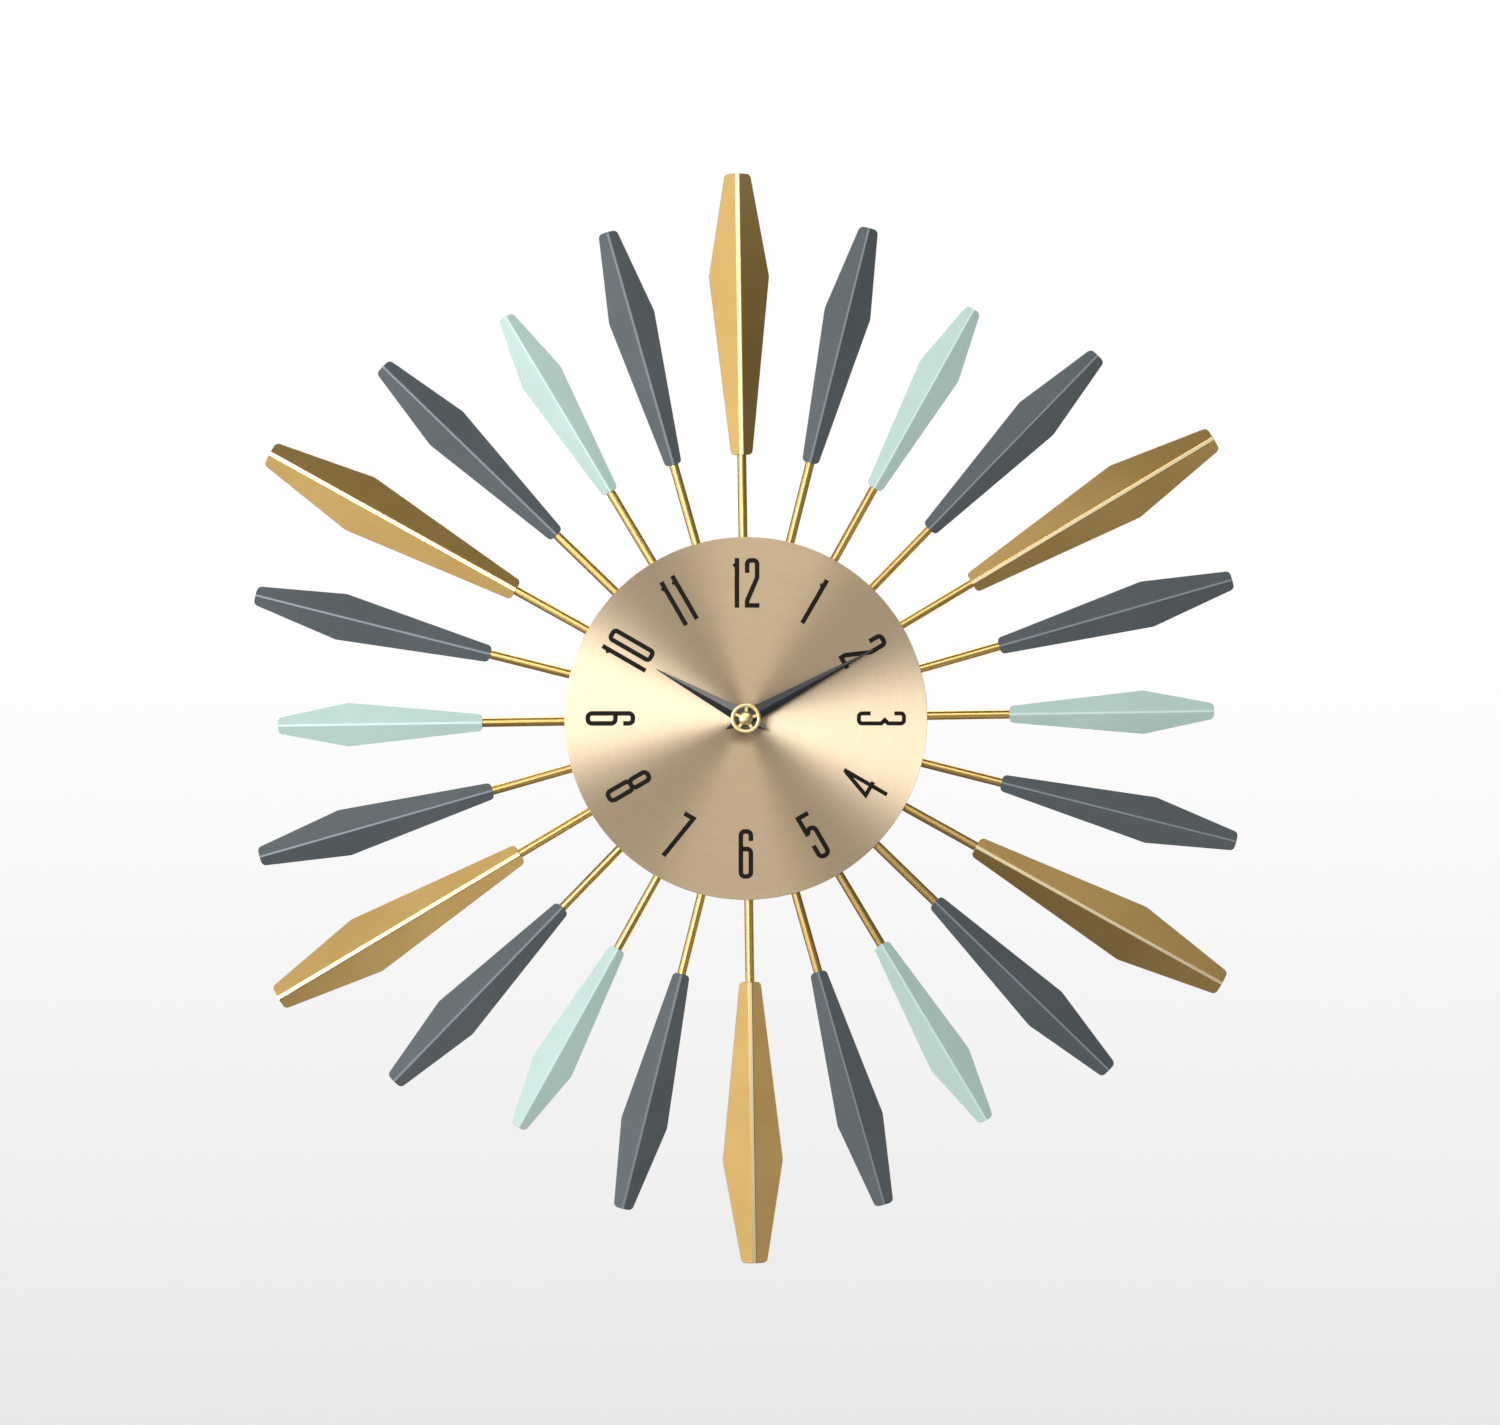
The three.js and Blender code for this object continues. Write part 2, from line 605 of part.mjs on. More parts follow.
addPiece('circuit_board', 'boardGreen',
  blockRound(board, board.width, board.height, board.back, boardFront));
addPiece('control_chip', 'epoxy', turned([
  [0, boardFront], [chip.radius, boardFront], [0.8 * chip.radius, boardFront + 0.6 * chip.height],
  [0.45 * chip.radius, boardFront + 0.9 * chip.height], [0, boardFront + chip.height],
], { x: board.x, z: chip.z }, 16));
addPiece('quartz_crystal', 'steel', spindle([
  [0, board.x - crystal.length / 2], [crystal.radius, board.x - crystal.length / 2],
  [crystal.radius, board.x + crystal.length / 2], [0, board.x + crystal.length / 2],
], boardFront + crystal.radius, crystal.z, 12));

// --------------------------------------------------------------------------------------- rear cover, middle plate

const knobFront = knobRecess + knobThickness;
const cupInner = knobRadius + cupClearance;
const cupFloor = knobFront + cupFloorGap;
const rearBearings = [axis, stepPlace, thirdPlace, rotorPlace];

function rearCover() {
  const plate = slab(roundedBox(caseLow, caseHigh, caseCorner), 0, coverThickness);
  const standing = (radius, front, place) => disc(radius, coverThickness / 2, front, place, 10);
  const raised = [
    disc(cupInner + cupWall, 0, cupFloor + cupWall, minutePlace, 24),
    ...rearBearings.map((place) => standing(bearingRadius, bearingFront, place)),
    ...posts.map((place) => standing(postRadius, plateBack, place)),
    ...legs.map((place) => standing(pillarRadius, statorPosition, place)),
    ...pegs.map((place) => standing(boardPeg.radius, board.back, place)),
  ];
  return cut(
    join(plate, ...raised),
    block(bay.low, bay.high, -overcut, coverThickness + overcut),
    disc(cupInner, -overcut, cupFloor, minutePlace, 24),
    drill(settingHole, cupFloor - overcut, cupFloor + cupWall + overcut, minutePlace),
    ...rearBearings.map((place) => drill(pivotHole, arborBack - pivotClearance, bearingFront + overcut, place)),
    ...legs.map((place) => drill(screwHole, statorPosition - screwDepth - boltClearance,
      statorPosition + overcut, place)));
}

function middlePlate() {
  const low = { x: room.low.x + plateEdgeGap, z: room.low.z + plateEdgeGap };
  const high = { x: room.high.x - plateEdgeGap, z: room.high.z - plateEdgeGap };
  const hole = (radius, place) => drill(radius, plateBack - overcut, plateFront + overcut, place);
  const pinionHole = teeth.thirdPinion * modules.third / 2 + modules.third + endPlay;
  return cut(block(low, high, plateBack, plateFront), hole(pivotHole, axis), hole(pivotHole, stepPlace),
    hole(pivotHole, rotorPlace), hole(settingHole, minutePlace), hole(pinionHole, thirdPlace));
}

// ------------------------------------------------------------------------------------------------------ gear train

// Direction of one tooth of a gear that meshes with a driver which lies the other way along the line of centres.
const meshed = (driver, driverTooth, driven, direction) =>
  direction + Math.PI + Math.PI / teeth[driven]
  - (teeth[driver] / teeth[driven]) * (driverTooth - direction);

const halfTurn = Math.PI;
const tooth = { rotorPinion: rotorDirection, cannonPinion: minuteDirection };
tooth.stepWheel = meshed('rotorPinion', tooth.rotorPinion, 'stepWheel', rotorDirection + halfTurn);
tooth.stepPinion = tooth.stepWheel;
tooth.secondsWheel = meshed('stepPinion', tooth.stepPinion, 'secondsWheel', stepDirection + halfTurn);
tooth.secondsPinion = tooth.secondsWheel;
tooth.thirdWheel = meshed('secondsPinion', tooth.secondsPinion, 'thirdWheel', thirdDirection);
tooth.thirdPinion = tooth.thirdWheel;
tooth.centreWheel = meshed('thirdPinion', tooth.thirdPinion, 'centreWheel', thirdDirection + halfTurn);
tooth.minuteWheel = meshed('cannonPinion', tooth.cannonPinion, 'minuteWheel', minuteDirection);
tooth.minutePinion = tooth.minuteWheel;
tooth.hourWheel = meshed('minutePinion', tooth.minutePinion, 'hourWheel', minuteDirection + halfTurn);

function gear(name, module, place, backFace, frontFace) {
  const count = teeth[name];
  const pitch = (2 * Math.PI) / count;
  const root = (count / 2 - dedendum) * module;
  const tip = (count / 2 + addendum) * module;
  const pointed = [[root, -toothAtRoot], [tip, 0], [root, toothAtRoot]];
  const flatTopped = [[root, -toothAtRoot], [tip, -toothAtTip], [tip, toothAtTip], [root, toothAtRoot]];
  const corners = count < wheelTeeth ? flatTopped : pointed;
  const points = [];
  for (let i = 0; i < count; i += 1) {
    corners.forEach(([radius, side]) => {
      const corner = polar(radius, tooth[name] + (i + side) * pitch, place);
      points.push(new THREE.Vector2(corner.x, corner.z));
    });
  }
  return slab(new THREE.Shape(points), backFace, frontFace);
}

const wheel = (name, module, place, layer, thickness = wheelThickness) =>
  gear(name, module, place, layer, layer + thickness);
const pinionFront = (layer, thickness = wheelThickness) => layer + thickness + pinionOverhang;
const arbor = (place, front, from = arborBack) => disc(arborRadius, from, front, place, 8);
const platePivot = plateBack + pivotDepth;

addPiece('rotor', 'steel', join(
  disc(magnetRadius, magnetBack, magnetFront, rotorPlace, 20),
  gear('rotorPinion', modules.rotor, rotorPlace, stepLayer - pinionOverhang, pinionFront(stepLayer)),
  arbor(rotorPlace, platePivot)));
addPiece('step_wheel', 'gearPlastic', join(
  wheel('stepWheel', modules.rotor, stepPlace, stepLayer),
  gear('stepPinion', modules.step, stepPlace, stepLayer, pinionFront(secondsLayer)),
  arbor(stepPlace, platePivot)));
const tubeBoreFront = caseInside - layerGap;
addPiece('seconds_wheel', 'gearPlastic', join(
  wheel('secondsWheel', modules.step, axis, secondsLayer),
  gear('secondsPinion', modules.seconds, axis, secondsLayer, pinionFront(thirdLayer)),
  arbor(axis, tubeBoreFront - layerGap)));
addPiece('third_wheel', 'gearPlastic', join(
  wheel('thirdWheel', modules.seconds, thirdPlace, thirdLayer),
  gear('thirdPinion', modules.third, thirdPlace, thirdLayer, pinionFront(centreLayer, centreThickness)),
  arbor(thirdPlace, frontPivot)));
const clutchBore = minuteTubeRadius + pivotClearance;
const clutchHole = disc(clutchBore, centreLayer - overcut, minuteLayer + overcut);
addPiece('centre_wheel', 'gearPlastic', cut(
  wheel('centreWheel', modules.third, axis, centreLayer, centreThickness), clutchHole));
const springBack = minuteLayer - (layerGap + springThickness) / 2;
addPiece('clutch_spring', 'steel', ring(springRadius, clutchBore, springBack, springBack + springThickness));

addPiece('rear_cover', 'casePlastic', rearCover());
addPiece('middle_plate', 'gearPlastic', middlePlate());

// ------------------------------------------------------------------------------------------------------ motion work

// The rear edge of a folded hand lies in the plane of its hub's back face.
const handRise = ({ width }) => (width / 2) * Math.tan(handFold) + handSheet / Math.cos(handFold);
const hourHandBack = bushingFront + layerGap;
const hourHandApex = hourHandBack + handRise(hourHand);
const minuteHandBack = hourHandApex + handGap;
const minuteHandApex = minuteHandBack + handRise(minuteHand);
const ringBack = minuteHandApex + handFitClearance;
const ringFront = ringBack + ringThickness;
const minuteTubeFront = ringBack + buttonSide;
const hourTubeFront = hourHandBack + 2 * handHubThickness;

addPiece('hour_wheel', 'gearPlastic', cut(
  join(wheel('hourWheel', modules.minute, axis, hourLayer), disc(hourTubeOuter, hourLayer, hourTubeFront)),
  disc(hourTubeInner, hourLayer - overcut, hourTubeFront + overcut)));

const tubeBack = plateFront + tubeClearance;
addPiece('cannon_tube', 'brass', cut(
  join(wheel('cannonPinion', modules.cannon, axis, minuteLayer),
    disc(minuteTubeRadius, tubeBack, minuteTubeFront, axis, 20)),
  disc(minuteTubeBore, tubeBack - overcut, tubeBoreFront, axis, 12)));

const settingEnd = knobRecess + knobCap;
addPiece('minute_wheel', 'gearPlastic', join(
  wheel('minuteWheel', modules.cannon, minutePlace, minuteLayer),
  gear('minutePinion', modules.minute, minutePlace, minuteLayer, hourLayer + wheelThickness),
  disc(settingArborRadius, settingEnd + handFitClearance, minuteLayer + wheelThickness, minutePlace, 12),
  arbor(minutePlace, frontPivot, minuteLayer)));

function settingKnob() {
  const grip = new THREE.Shape();
  const step = Math.PI / knobRidges;
  for (let i = 0; i < 2 * knobRidges; i += 1) {
    const edge = polar(knobRadius - (i % 2) * knobRidgeDepth, i * step, minutePlace);
    if (i === 0) grip.moveTo(edge.x, edge.z);
    else grip.lineTo(edge.x, edge.z);
  }
  return cut(slab(grip, knobRecess, knobFront),
    disc(settingArborRadius + handFitClearance, settingEnd, knobFront + overcut, minutePlace, 16));
}

addPiece('setting_knob', 'knobPlastic', settingKnob());

// ------------------------------------------------------------------------------------------- battery and contacts

const nubEnd = inner - positiveRoom;
const batteryDepth = caseInside - batteryClearance - batteryRadius;
const shoulder = nubEnd - batteryNubLength;
const negativeEnd = nubEnd - batteryLength;

addPiece('aa_battery', 'battery', spindle([
  [0, negativeEnd], [batteryRadius - batteryEdge, negativeEnd], [batteryRadius, negativeEnd + batteryEdge],
  [batteryRadius, shoulder - batteryEdge], [batteryRadius - batteryEdge, shoulder], [batteryNubRadius, shoulder],
  [batteryNubRadius, nubEnd], [0, nubEnd],
], batteryDepth, bayMiddle, 20));

function positiveContact() {
  const front = inner - contactWallGap;
  const leaf = blockRound({ x: front - contactSheet / 2, z: bayMiddle }, contactSheet, contactWidth,
    batteryDepth - contactWidth / 2, batteryDepth + contactWidth / 2);
  const button = [nubEnd + contactTouchGap, front - contactSheet / 2];
  return join(leaf, spindle([
    [0, button[0]], [batteryNubRadius - batteryEdge, button[0]], [batteryNubRadius, button[1]], [0, button[1]],
  ], batteryDepth, bayMiddle, 12));
}

// A plate whose tongue is bent out towards the battery.
function negativeContact() {
  const wall = contactWallGap - inner;
  const touch = negativeEnd - contactTouchGap;
  const half = contactWidth / 2;
  const outline = new THREE.Shape([
    [wall, -half], [wall + contactSheet, -half], [wall + contactSheet, half - 3 * contactSheet],
    [touch - contactSheet, 0], [touch - contactSheet, -half / 2], [touch, -half / 2], [touch, 0],
    [wall + contactSheet, half], [wall, half],
  ].map(([x, z]) => new THREE.Vector2(x, z + bayMiddle)));
  return slab(outline, batteryDepth - half, batteryDepth + half);
}

addPiece('battery_contact_positive', 'steel', positiveContact());
addPiece('battery_contact_negative', 'steel', negativeContact());

// ------------------------------------------------------------------------------------------------ hands, ring nut

function hand({ tip, tail, width }, handBack, apex, bore) {
  const outline = new THREE.Shape([
    [-handPoint / 2, -tail], [handPoint / 2, -tail], [width / 2, 0],
    [handPoint / 2, tip], [-handPoint / 2, tip], [-width / 2, 0],
  ].map(([x, z]) => new THREE.Vector2(x, z)));
  const sheet = foldedStrip({
    halfWidth: width, fold: handFold, sheet: handSheet, bend: handBend, apex,
    low: -tail - overcut, high: tip + overcut,
  });
  const blades = sheet.intersect(slab(outline, handBack - overcut, apex + overcut));
  const hub = disc(handHubRadius, handBack, handBack + handHubThickness, axis, 20);
  return cut(join(blades, hub), disc(bore, handBack - overcut, apex + overcut, axis, 16));
}

addPiece('hour_hand', 'handBlack',
  hand(hourHand, hourHandBack, hourHandApex, hourTubeOuter + handFitClearance),
  turnedGroup(Math.PI / 2 - hourHand.angle));
addPiece('minute_hand', 'handBlack',
  hand(minuteHand, minuteHandBack, minuteHandApex, minuteTubeRadius + handFitClearance),
  turnedGroup(Math.PI / 2 - minuteHand.angle));

function handNut() {
  const domeSteps = 3;
  const dome = Array.from({ length: domeSteps + 1 }, (_, i) => {
    const rise = (i / domeSteps) * (Math.PI / 2);
    return [buttonRadius * Math.cos(rise), ringBack + buttonSide + buttonDome * Math.sin(rise)];
  });
  dome[domeSteps][0] = 0;
  const button = turned([[0, ringBack], [buttonRadius, ringBack], ...dome], axis, 16);
  const spoke = new THREE.BoxGeometry(ringSpokeWidth, ringSpokeThickness, (ringInner + ringOuter) / 2);
  spoke.translate(0, -ringBack - ringSpokeThickness / 2 - handFitClearance, (ringInner + ringOuter) / 4);
  const spokes = Array.from({ length: ringSpokes }, (_, i) =>
    solid(spoke.clone().rotateY(Math.PI / 2 - ringTurn - (i * 2 * Math.PI) / ringSpokes)));
  return cut(join(ring(ringOuter, ringInner, ringBack, ringFront, 28), ...spokes, button),
    disc(minuteTubeRadius + handFitClearance, ringBack - overcut, minuteTubeFront + handFitClearance, axis, 12));
}

addPiece('hand_nut', 'brass', handNut());

export default clock;
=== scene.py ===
"""Looks of the sunburst wall clock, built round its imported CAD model.

Shapes are worked out in millimetres and scaled to metres when a piece is finished. +X points to 3 o'clock,
+Z to 12 o'clock, and the dial faces -Y. A depth is a distance in front of the wall, so depth d lies at y = -d.
"""

import logging
import math
from collections.abc import Callable, Iterable, Sequence
from dataclasses import dataclass
from enum import Enum

import bmesh
import bpy
from mathutils import Matrix, Vector


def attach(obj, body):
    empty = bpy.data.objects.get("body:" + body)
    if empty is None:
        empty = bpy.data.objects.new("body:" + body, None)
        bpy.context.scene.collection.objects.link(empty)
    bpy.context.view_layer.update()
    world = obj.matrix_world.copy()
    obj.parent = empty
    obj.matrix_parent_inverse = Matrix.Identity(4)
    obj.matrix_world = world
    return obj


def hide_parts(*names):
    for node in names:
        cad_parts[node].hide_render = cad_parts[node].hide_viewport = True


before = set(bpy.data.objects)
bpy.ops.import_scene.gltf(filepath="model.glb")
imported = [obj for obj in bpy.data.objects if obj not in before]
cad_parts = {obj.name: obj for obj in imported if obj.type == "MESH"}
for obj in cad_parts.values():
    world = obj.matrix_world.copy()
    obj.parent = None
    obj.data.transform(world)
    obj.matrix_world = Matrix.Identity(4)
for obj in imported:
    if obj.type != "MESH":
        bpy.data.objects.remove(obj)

log = logging.getLogger("sunburst_clock")

MM = 0.001
FACE_AXIS = Vector((0.0, -1.0, 0.0))
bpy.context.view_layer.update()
ROUND_UV = "round"
# Mask of a fold's crest, where the paint is smoother and a highlight is painted in a paler colour.
CREST = "crest"

Point = tuple[float, float]
Corner = tuple[float, float, float]


class Body(Enum):
    """CAD bodies that pieces ride on."""

    CLOCK = "clock_body"
    MINUTE = "minute_hand_body"
    HOUR = "hour_hand_body"
    KNOB = "setting_knob_body"


# ------------------------------------------------------------------------------------------- shader building


def linear(hex_colour: str) -> tuple[float, float, float, float]:
    """Linear colour of a display colour, by the sRGB curve.

    Args:
        hex_colour: Six hexadecimal digits, such as "c39d55".

    Returns:
        Red, green, blue and alpha as scene-linear values.
    """
    shares = [int(hex_colour[i:i + 2], 16) / 255 for i in (0, 2, 4)]
    r, g, b = (s / 12.92 if s <= 0.04045 else ((s + 0.055) / 1.055) ** 2.4 for s in shares)
    return (r, g, b, 1.0)


def grey(level: float) -> tuple[float, float, float, float]:
    """Linear grey of a level from 0 to 1."""
    return (level, level, level, 1.0)


# Places of a Mix node's colour sockets, which share their names with its other sockets.
MIX_FACTOR, MIX_ONE, MIX_OTHER, MIX_RESULT = 0, 6, 7, 2

# Values between which nearly all of a noise texture lies.
CLOUD_RANGE = (0.35, 0.65)
GRAIN_RANGE = (0.3, 0.7)


class Nodes:
    """A node tree with short ways to add nodes and links."""

    def __init__(self, tree: bpy.types.NodeTree) -> None:
        """Keeps the tree.

        Args:
            tree: The node tree to build in.
        """
        self.tree = tree

    def add(self, kind: str, inputs: dict | None = None, **settings: object) -> bpy.types.Node:
        """Adds a node.

        Args:
            kind: The node's type name.
            inputs: Values or sockets for the node's inputs, by name or number.
            settings: The node's own settings.

        Returns:
            The new node.
        """
        node = self.tree.nodes.new(kind)
        for name, value in settings.items():
            setattr(node, name, value)
        self.fill(node, inputs or {})
        return node

    def fill(self, node: bpy.types.Node, inputs: dict) -> None:
        """Links sockets to a node's inputs, and sets the other inputs to plain values."""
        for name, value in inputs.items():
            if isinstance(value, bpy.types.NodeSocket):
                self.tree.links.new(value, node.inputs[name])
            else:
                node.inputs[name].default_value = value

    def math(self, operation: str, *values: object) -> bpy.types.NodeSocket:
        """Adds a Math node and returns its result."""
        return self.add("ShaderNodeMath", dict(enumerate(values)), operation=operation).outputs[0]

    def spread(self, value: bpy.types.NodeSocket, low: float, high: float, start: float = 0.0,
               end: float = 1.0) -> bpy.types.NodeSocket:
        """Maps a value from one range to another.

        Args:
            value: The value to map.
            low: The result at start.
            high: The result at end.
            start: Where the source range begins.
            end: Where the source range ends.

        Returns:
            The mapped value, clamped.
        """
        node = self.add("ShaderNodeMapRange", {"Value": value, "From Min": start, "From Max": end,
                                               "To Min": low, "To Max": high})
        return node.outputs["Result"]

    def blend(self, factor: bpy.types.NodeSocket, one: object, other: object) -> bpy.types.NodeSocket:
        """Mixes two colours and returns the mixed colour."""
        node = self.add("ShaderNodeMix", {MIX_FACTOR: factor}, data_type="RGBA")
        self.fill(node, {MIX_ONE: one, MIX_OTHER: other})
        return node.outputs[MIX_RESULT]


def new_group(name: str, inputs: dict[str, float],
              outputs: Sequence[str]) -> tuple[bpy.types.NodeTree, Nodes]:
    """Starts a shader node group whose sockets are all plain values.

    Args:
        name: The group's name.
        inputs: Default values by input name.
        outputs: Output names.

    Returns:
        The group and its node builder.
    """
    group = bpy.data.node_groups.new(name, "ShaderNodeTree")
    for label, value in inputs.items():
        socket = group.interface.new_socket(name=label, in_out="INPUT", socket_type="NodeSocketFloat")
        socket.default_value = value
    for label in outputs:
        group.interface.new_socket(name=label, in_out="OUTPUT", socket_type="NodeSocketFloat")
    return group, Nodes(group)


def grain_group() -> bpy.types.NodeTree:
    """Fine grain, with broad cloudiness over it.

    Returns:
        A group with inputs Grain Size and Cloud Size in metres, and outputs Grain and Cloud.
    """
    group, nodes = new_group("fine_grain", {"Grain Size": 0.0004, "Cloud Size": 0.04}, ("Grain", "Cloud"))
    sizes = nodes.add("NodeGroupInput")
    place = nodes.add("ShaderNodeTexCoord").outputs["Object"]
    fine = nodes.add("ShaderNodeTexNoise", {
        "Vector": place, "Scale": nodes.math("DIVIDE", 1.0, sizes.outputs["Grain Size"]), "Detail": 2.0})
    broad = nodes.add("ShaderNodeTexNoise", {
        "Vector": place, "Scale": nodes.math("DIVIDE", 1.0, sizes.outputs["Cloud Size"]), "Detail": 3.0})
    nodes.add("NodeGroupOutput", {"Grain": fine.outputs["Fac"], "Cloud": broad.outputs["Fac"]})
    return group


def ring_brush_group() -> bpy.types.NodeTree:
    """Streaks of a brush that ran round the hand axis.

    Returns:
        A group with inputs Pitch, the distance between streaks in metres, and Run, the number of streaks in
        a turn, and outputs Height and Tone.
    """
    group, nodes = new_group("ring_brush", {"Pitch": 0.0002, "Run": 6.0}, ("Height", "Tone"))
    sizes = nodes.add("NodeGroupInput")
    place = nodes.add("ShaderNodeSeparateXYZ", {"Vector": nodes.add("ShaderNodeTexCoord").outputs["Object"]})
    x, z = place.outputs["X"], place.outputs["Z"]
    radius = nodes.math("SQRT", nodes.math("ADD", nodes.math("MULTIPLY", x, x), nodes.math("MULTIPLY", z, z)))
    across = nodes.math("DIVIDE", radius, sizes.outputs["Pitch"])
    along = nodes.math("MULTIPLY", nodes.math("ARCTAN2", z, x), sizes.outputs["Run"])
    broad_across, broad_along = 0.12, 0.4
    streak = nodes.add("ShaderNodeTexNoise", {
        "Vector": nodes.add("ShaderNodeCombineXYZ", {"X": across, "Y": along}).outputs["Vector"],
        "Scale": 1.0, "Detail": 2.0, "Roughness": 0.6})
    broad_place = nodes.add("ShaderNodeCombineXYZ", {
        "X": nodes.math("MULTIPLY", across, broad_across), "Y": nodes.math("MULTIPLY", along, broad_along)})
    broad = nodes.add("ShaderNodeTexNoise", {
        "Vector": broad_place.outputs["Vector"], "Scale": 1.0, "Detail": 2.0})
    nodes.add("NodeGroupOutput", {"Height": streak.outputs["Fac"], "Tone": broad.outputs["Fac"]})
    return group


class Groups:
    """Shader node groups, each built on its first use."""

    makers: dict[str, Callable[[], bpy.types.NodeTree]] = {
        "grain": grain_group, "ring_brush": ring_brush_group}
    built: dict[str, bpy.types.NodeTree] = {}

    @classmethod
    def place(cls, nodes: Nodes, name: str, **values: float) -> bpy.types.Node:
        """Places a group in a material.

        Args:
            nodes: The material's node builder.
            name: The group's short name.
            values: Values for its inputs, with _ for a space in their names.

        Returns:
            The group's node.
        """
        if name not in cls.built:
            cls.built[name] = cls.makers[name]()
        node = nodes.add("ShaderNodeGroup", node_tree=cls.built[name])
        for label, value in values.items():
            node.inputs[label.replace("_", " ").title()].default_value = value
        return node


FINISHED: dict[str, bpy.types.Material] = {}


@dataclass(frozen=True)
class Finish:
    """A surface finish with a fine grain and a faint cloudiness.

    Attributes:
        name: The material's name.
        slot: The record's material slot that it stands for; not used.
        colour: Base colour as six hexadecimal digits.
        shade: Darker colour that the cloudiness mixes in.
        metallic: Share of metal.
        roughness: Mean roughness.
        grain_size: Size of the grain in metres.
        grain_depth: Height of the grain in metres.
        roughness_swing: How far the grain moves the roughness.
        coat: Weight of the clear coat.
        coat_roughness: Roughness of the clear coat.
        specular: Specular level.
        anisotropy: Stretch of the highlight.
        spread_turn: Turn of the stretch away from the tangent, as a share of a full turn.
    """

    name: str
    slot: str
    colour: str
    shade: str
    metallic: float = 0.0
    roughness: float = 0.5
    grain_size: float = 0.0004
    grain_depth: float = 0.00001
    roughness_swing: float = 0.08
    coat: float = 0.0
    coat_roughness: float = 0.1
    specular: float = 0.5
    anisotropy: float = 0.0
    spread_turn: float = 0.0

    def material(self) -> bpy.types.Material:
        """Returns the material of this finish, which is built once."""
        if self.name in FINISHED:
            return FINISHED[self.name]
        made = FINISHED[self.name] = bpy.data.materials.new(self.name)
        made.use_nodes = True
        nodes = Nodes(made.node_tree)
        shader = made.node_tree.nodes["Principled BSDF"]
        for socket, value in (("Metallic", self.metallic), ("Coat Weight", self.coat),
                              ("Coat Roughness", self.coat_roughness), ("Specular IOR Level", self.specular),
                              ("Anisotropic", self.anisotropy), ("Anisotropic Rotation", self.spread_turn)):
            shader.inputs[socket].default_value = value
        for socket, value in self.surface(nodes).items():
            made.node_tree.links.new(value, shader.inputs[socket])
        made.diffuse_color = linear(self.colour)
        return made

    def surface(self, nodes: Nodes) -> dict[str, bpy.types.NodeSocket]:
        """Builds what changes over the surface.

        Args:
            nodes: The material's node builder.

        Returns:
            Sockets for the shader's inputs, by name.
        """
        grain = Groups.place(nodes, "grain", grain_size=self.grain_size)
        cloud = nodes.spread(grain.outputs["Cloud"], 0.0, 1.0, *CLOUD_RANGE)
        bump = nodes.add("ShaderNodeBump", {"Height": grain.outputs["Grain"], "Distance": self.grain_depth})
        swing = self.roughness_swing
        return {
            "Base Color": nodes.blend(cloud, linear(self.colour), linear(self.shade)),
            "Roughness": nodes.spread(grain.outputs["Grain"], self.roughness - swing, self.roughness + swing,
                                      *GRAIN_RANGE),
            "Normal": bump.outputs["Normal"],
        }


@dataclass(frozen=True)
class RingBrushed(Finish):
    """Metal brushed or turned in circles round the hand axis.

    Attributes:
        pitch: Distance between brush streaks in metres.
        run: Number of streaks in a turn.
        streaks: Share of the fine streaks in the tone, against the broad ones.
    """

    spread_turn: float = 0.25
    pitch: float = 0.00022
    run: float = 5.0
    streaks: float = 0.75

    def surface(self, nodes: Nodes) -> dict[str, bpy.types.NodeSocket]:
        """Builds the streaks, and the tangent that stretches the highlight across them.

        Args:
            nodes: The material's node builder.

        Returns:
            Sockets for the shader's inputs, by name.
        """
        brush = Groups.place(nodes, "ring_brush", pitch=self.pitch, run=self.run)
        tone = nodes.math("ADD", nodes.math("MULTIPLY", brush.outputs["Height"], self.streaks),
                          nodes.math("MULTIPLY", brush.outputs["Tone"], 1 - self.streaks))
        bump = nodes.add("ShaderNodeBump", {"Height": brush.outputs["Height"], "Distance": self.grain_depth})
        tangent = nodes.add("ShaderNodeTangent", direction_type="UV_MAP", uv_map=ROUND_UV)
        return {
            "Base Color": nodes.blend(nodes.spread(tone, 0.0, 1.0, *CLOUD_RANGE), linear(self.shade),
                                      linear(self.colour)),
            "Roughness": nodes.spread(tone, self.roughness + self.roughness_swing,
                                      self.roughness - self.roughness_swing, *CLOUD_RANGE),
            "Normal": bump.outputs["Normal"],
            "Tangent": tangent.outputs["Tangent"],
        }


@dataclass(frozen=True)
class Crested(Finish):
    """Paint on a folded sheet, with a smoother line along the crest of the fold and a paler colour painted
    there as a highlight.

    Attributes:
        crest_colour: Paler colour painted along the crest as a highlight.
        crest_roughness: Roughness of the crest.
    """

    crest_colour: str = "ffffff"
    crest_roughness: float = 0.3

    def surface(self, nodes: Nodes) -> dict[str, bpy.types.NodeSocket]:
        """Builds the paint with its smoother crest and the highlight painted along it.

        Args:
            nodes: The material's node builder.

        Returns:
            Sockets for the shader's inputs, by name.
        """
        sockets = super().surface(nodes)
        crest = nodes.add("ShaderNodeAttribute", attribute_name=CREST).outputs["Fac"]
        # The crest's paler colour is a painted highlight of the rounded fold, not a colour of the paint.
        sockets["Base Color"] = nodes.blend(crest, sockets["Base Color"], linear(self.crest_colour))
        worn = nodes.add("ShaderNodeMix", {
            "Factor": crest, "A": sockets["Roughness"], "B": self.crest_roughness})
        sockets["Roughness"] = worn.outputs["Result"]
        return sockets
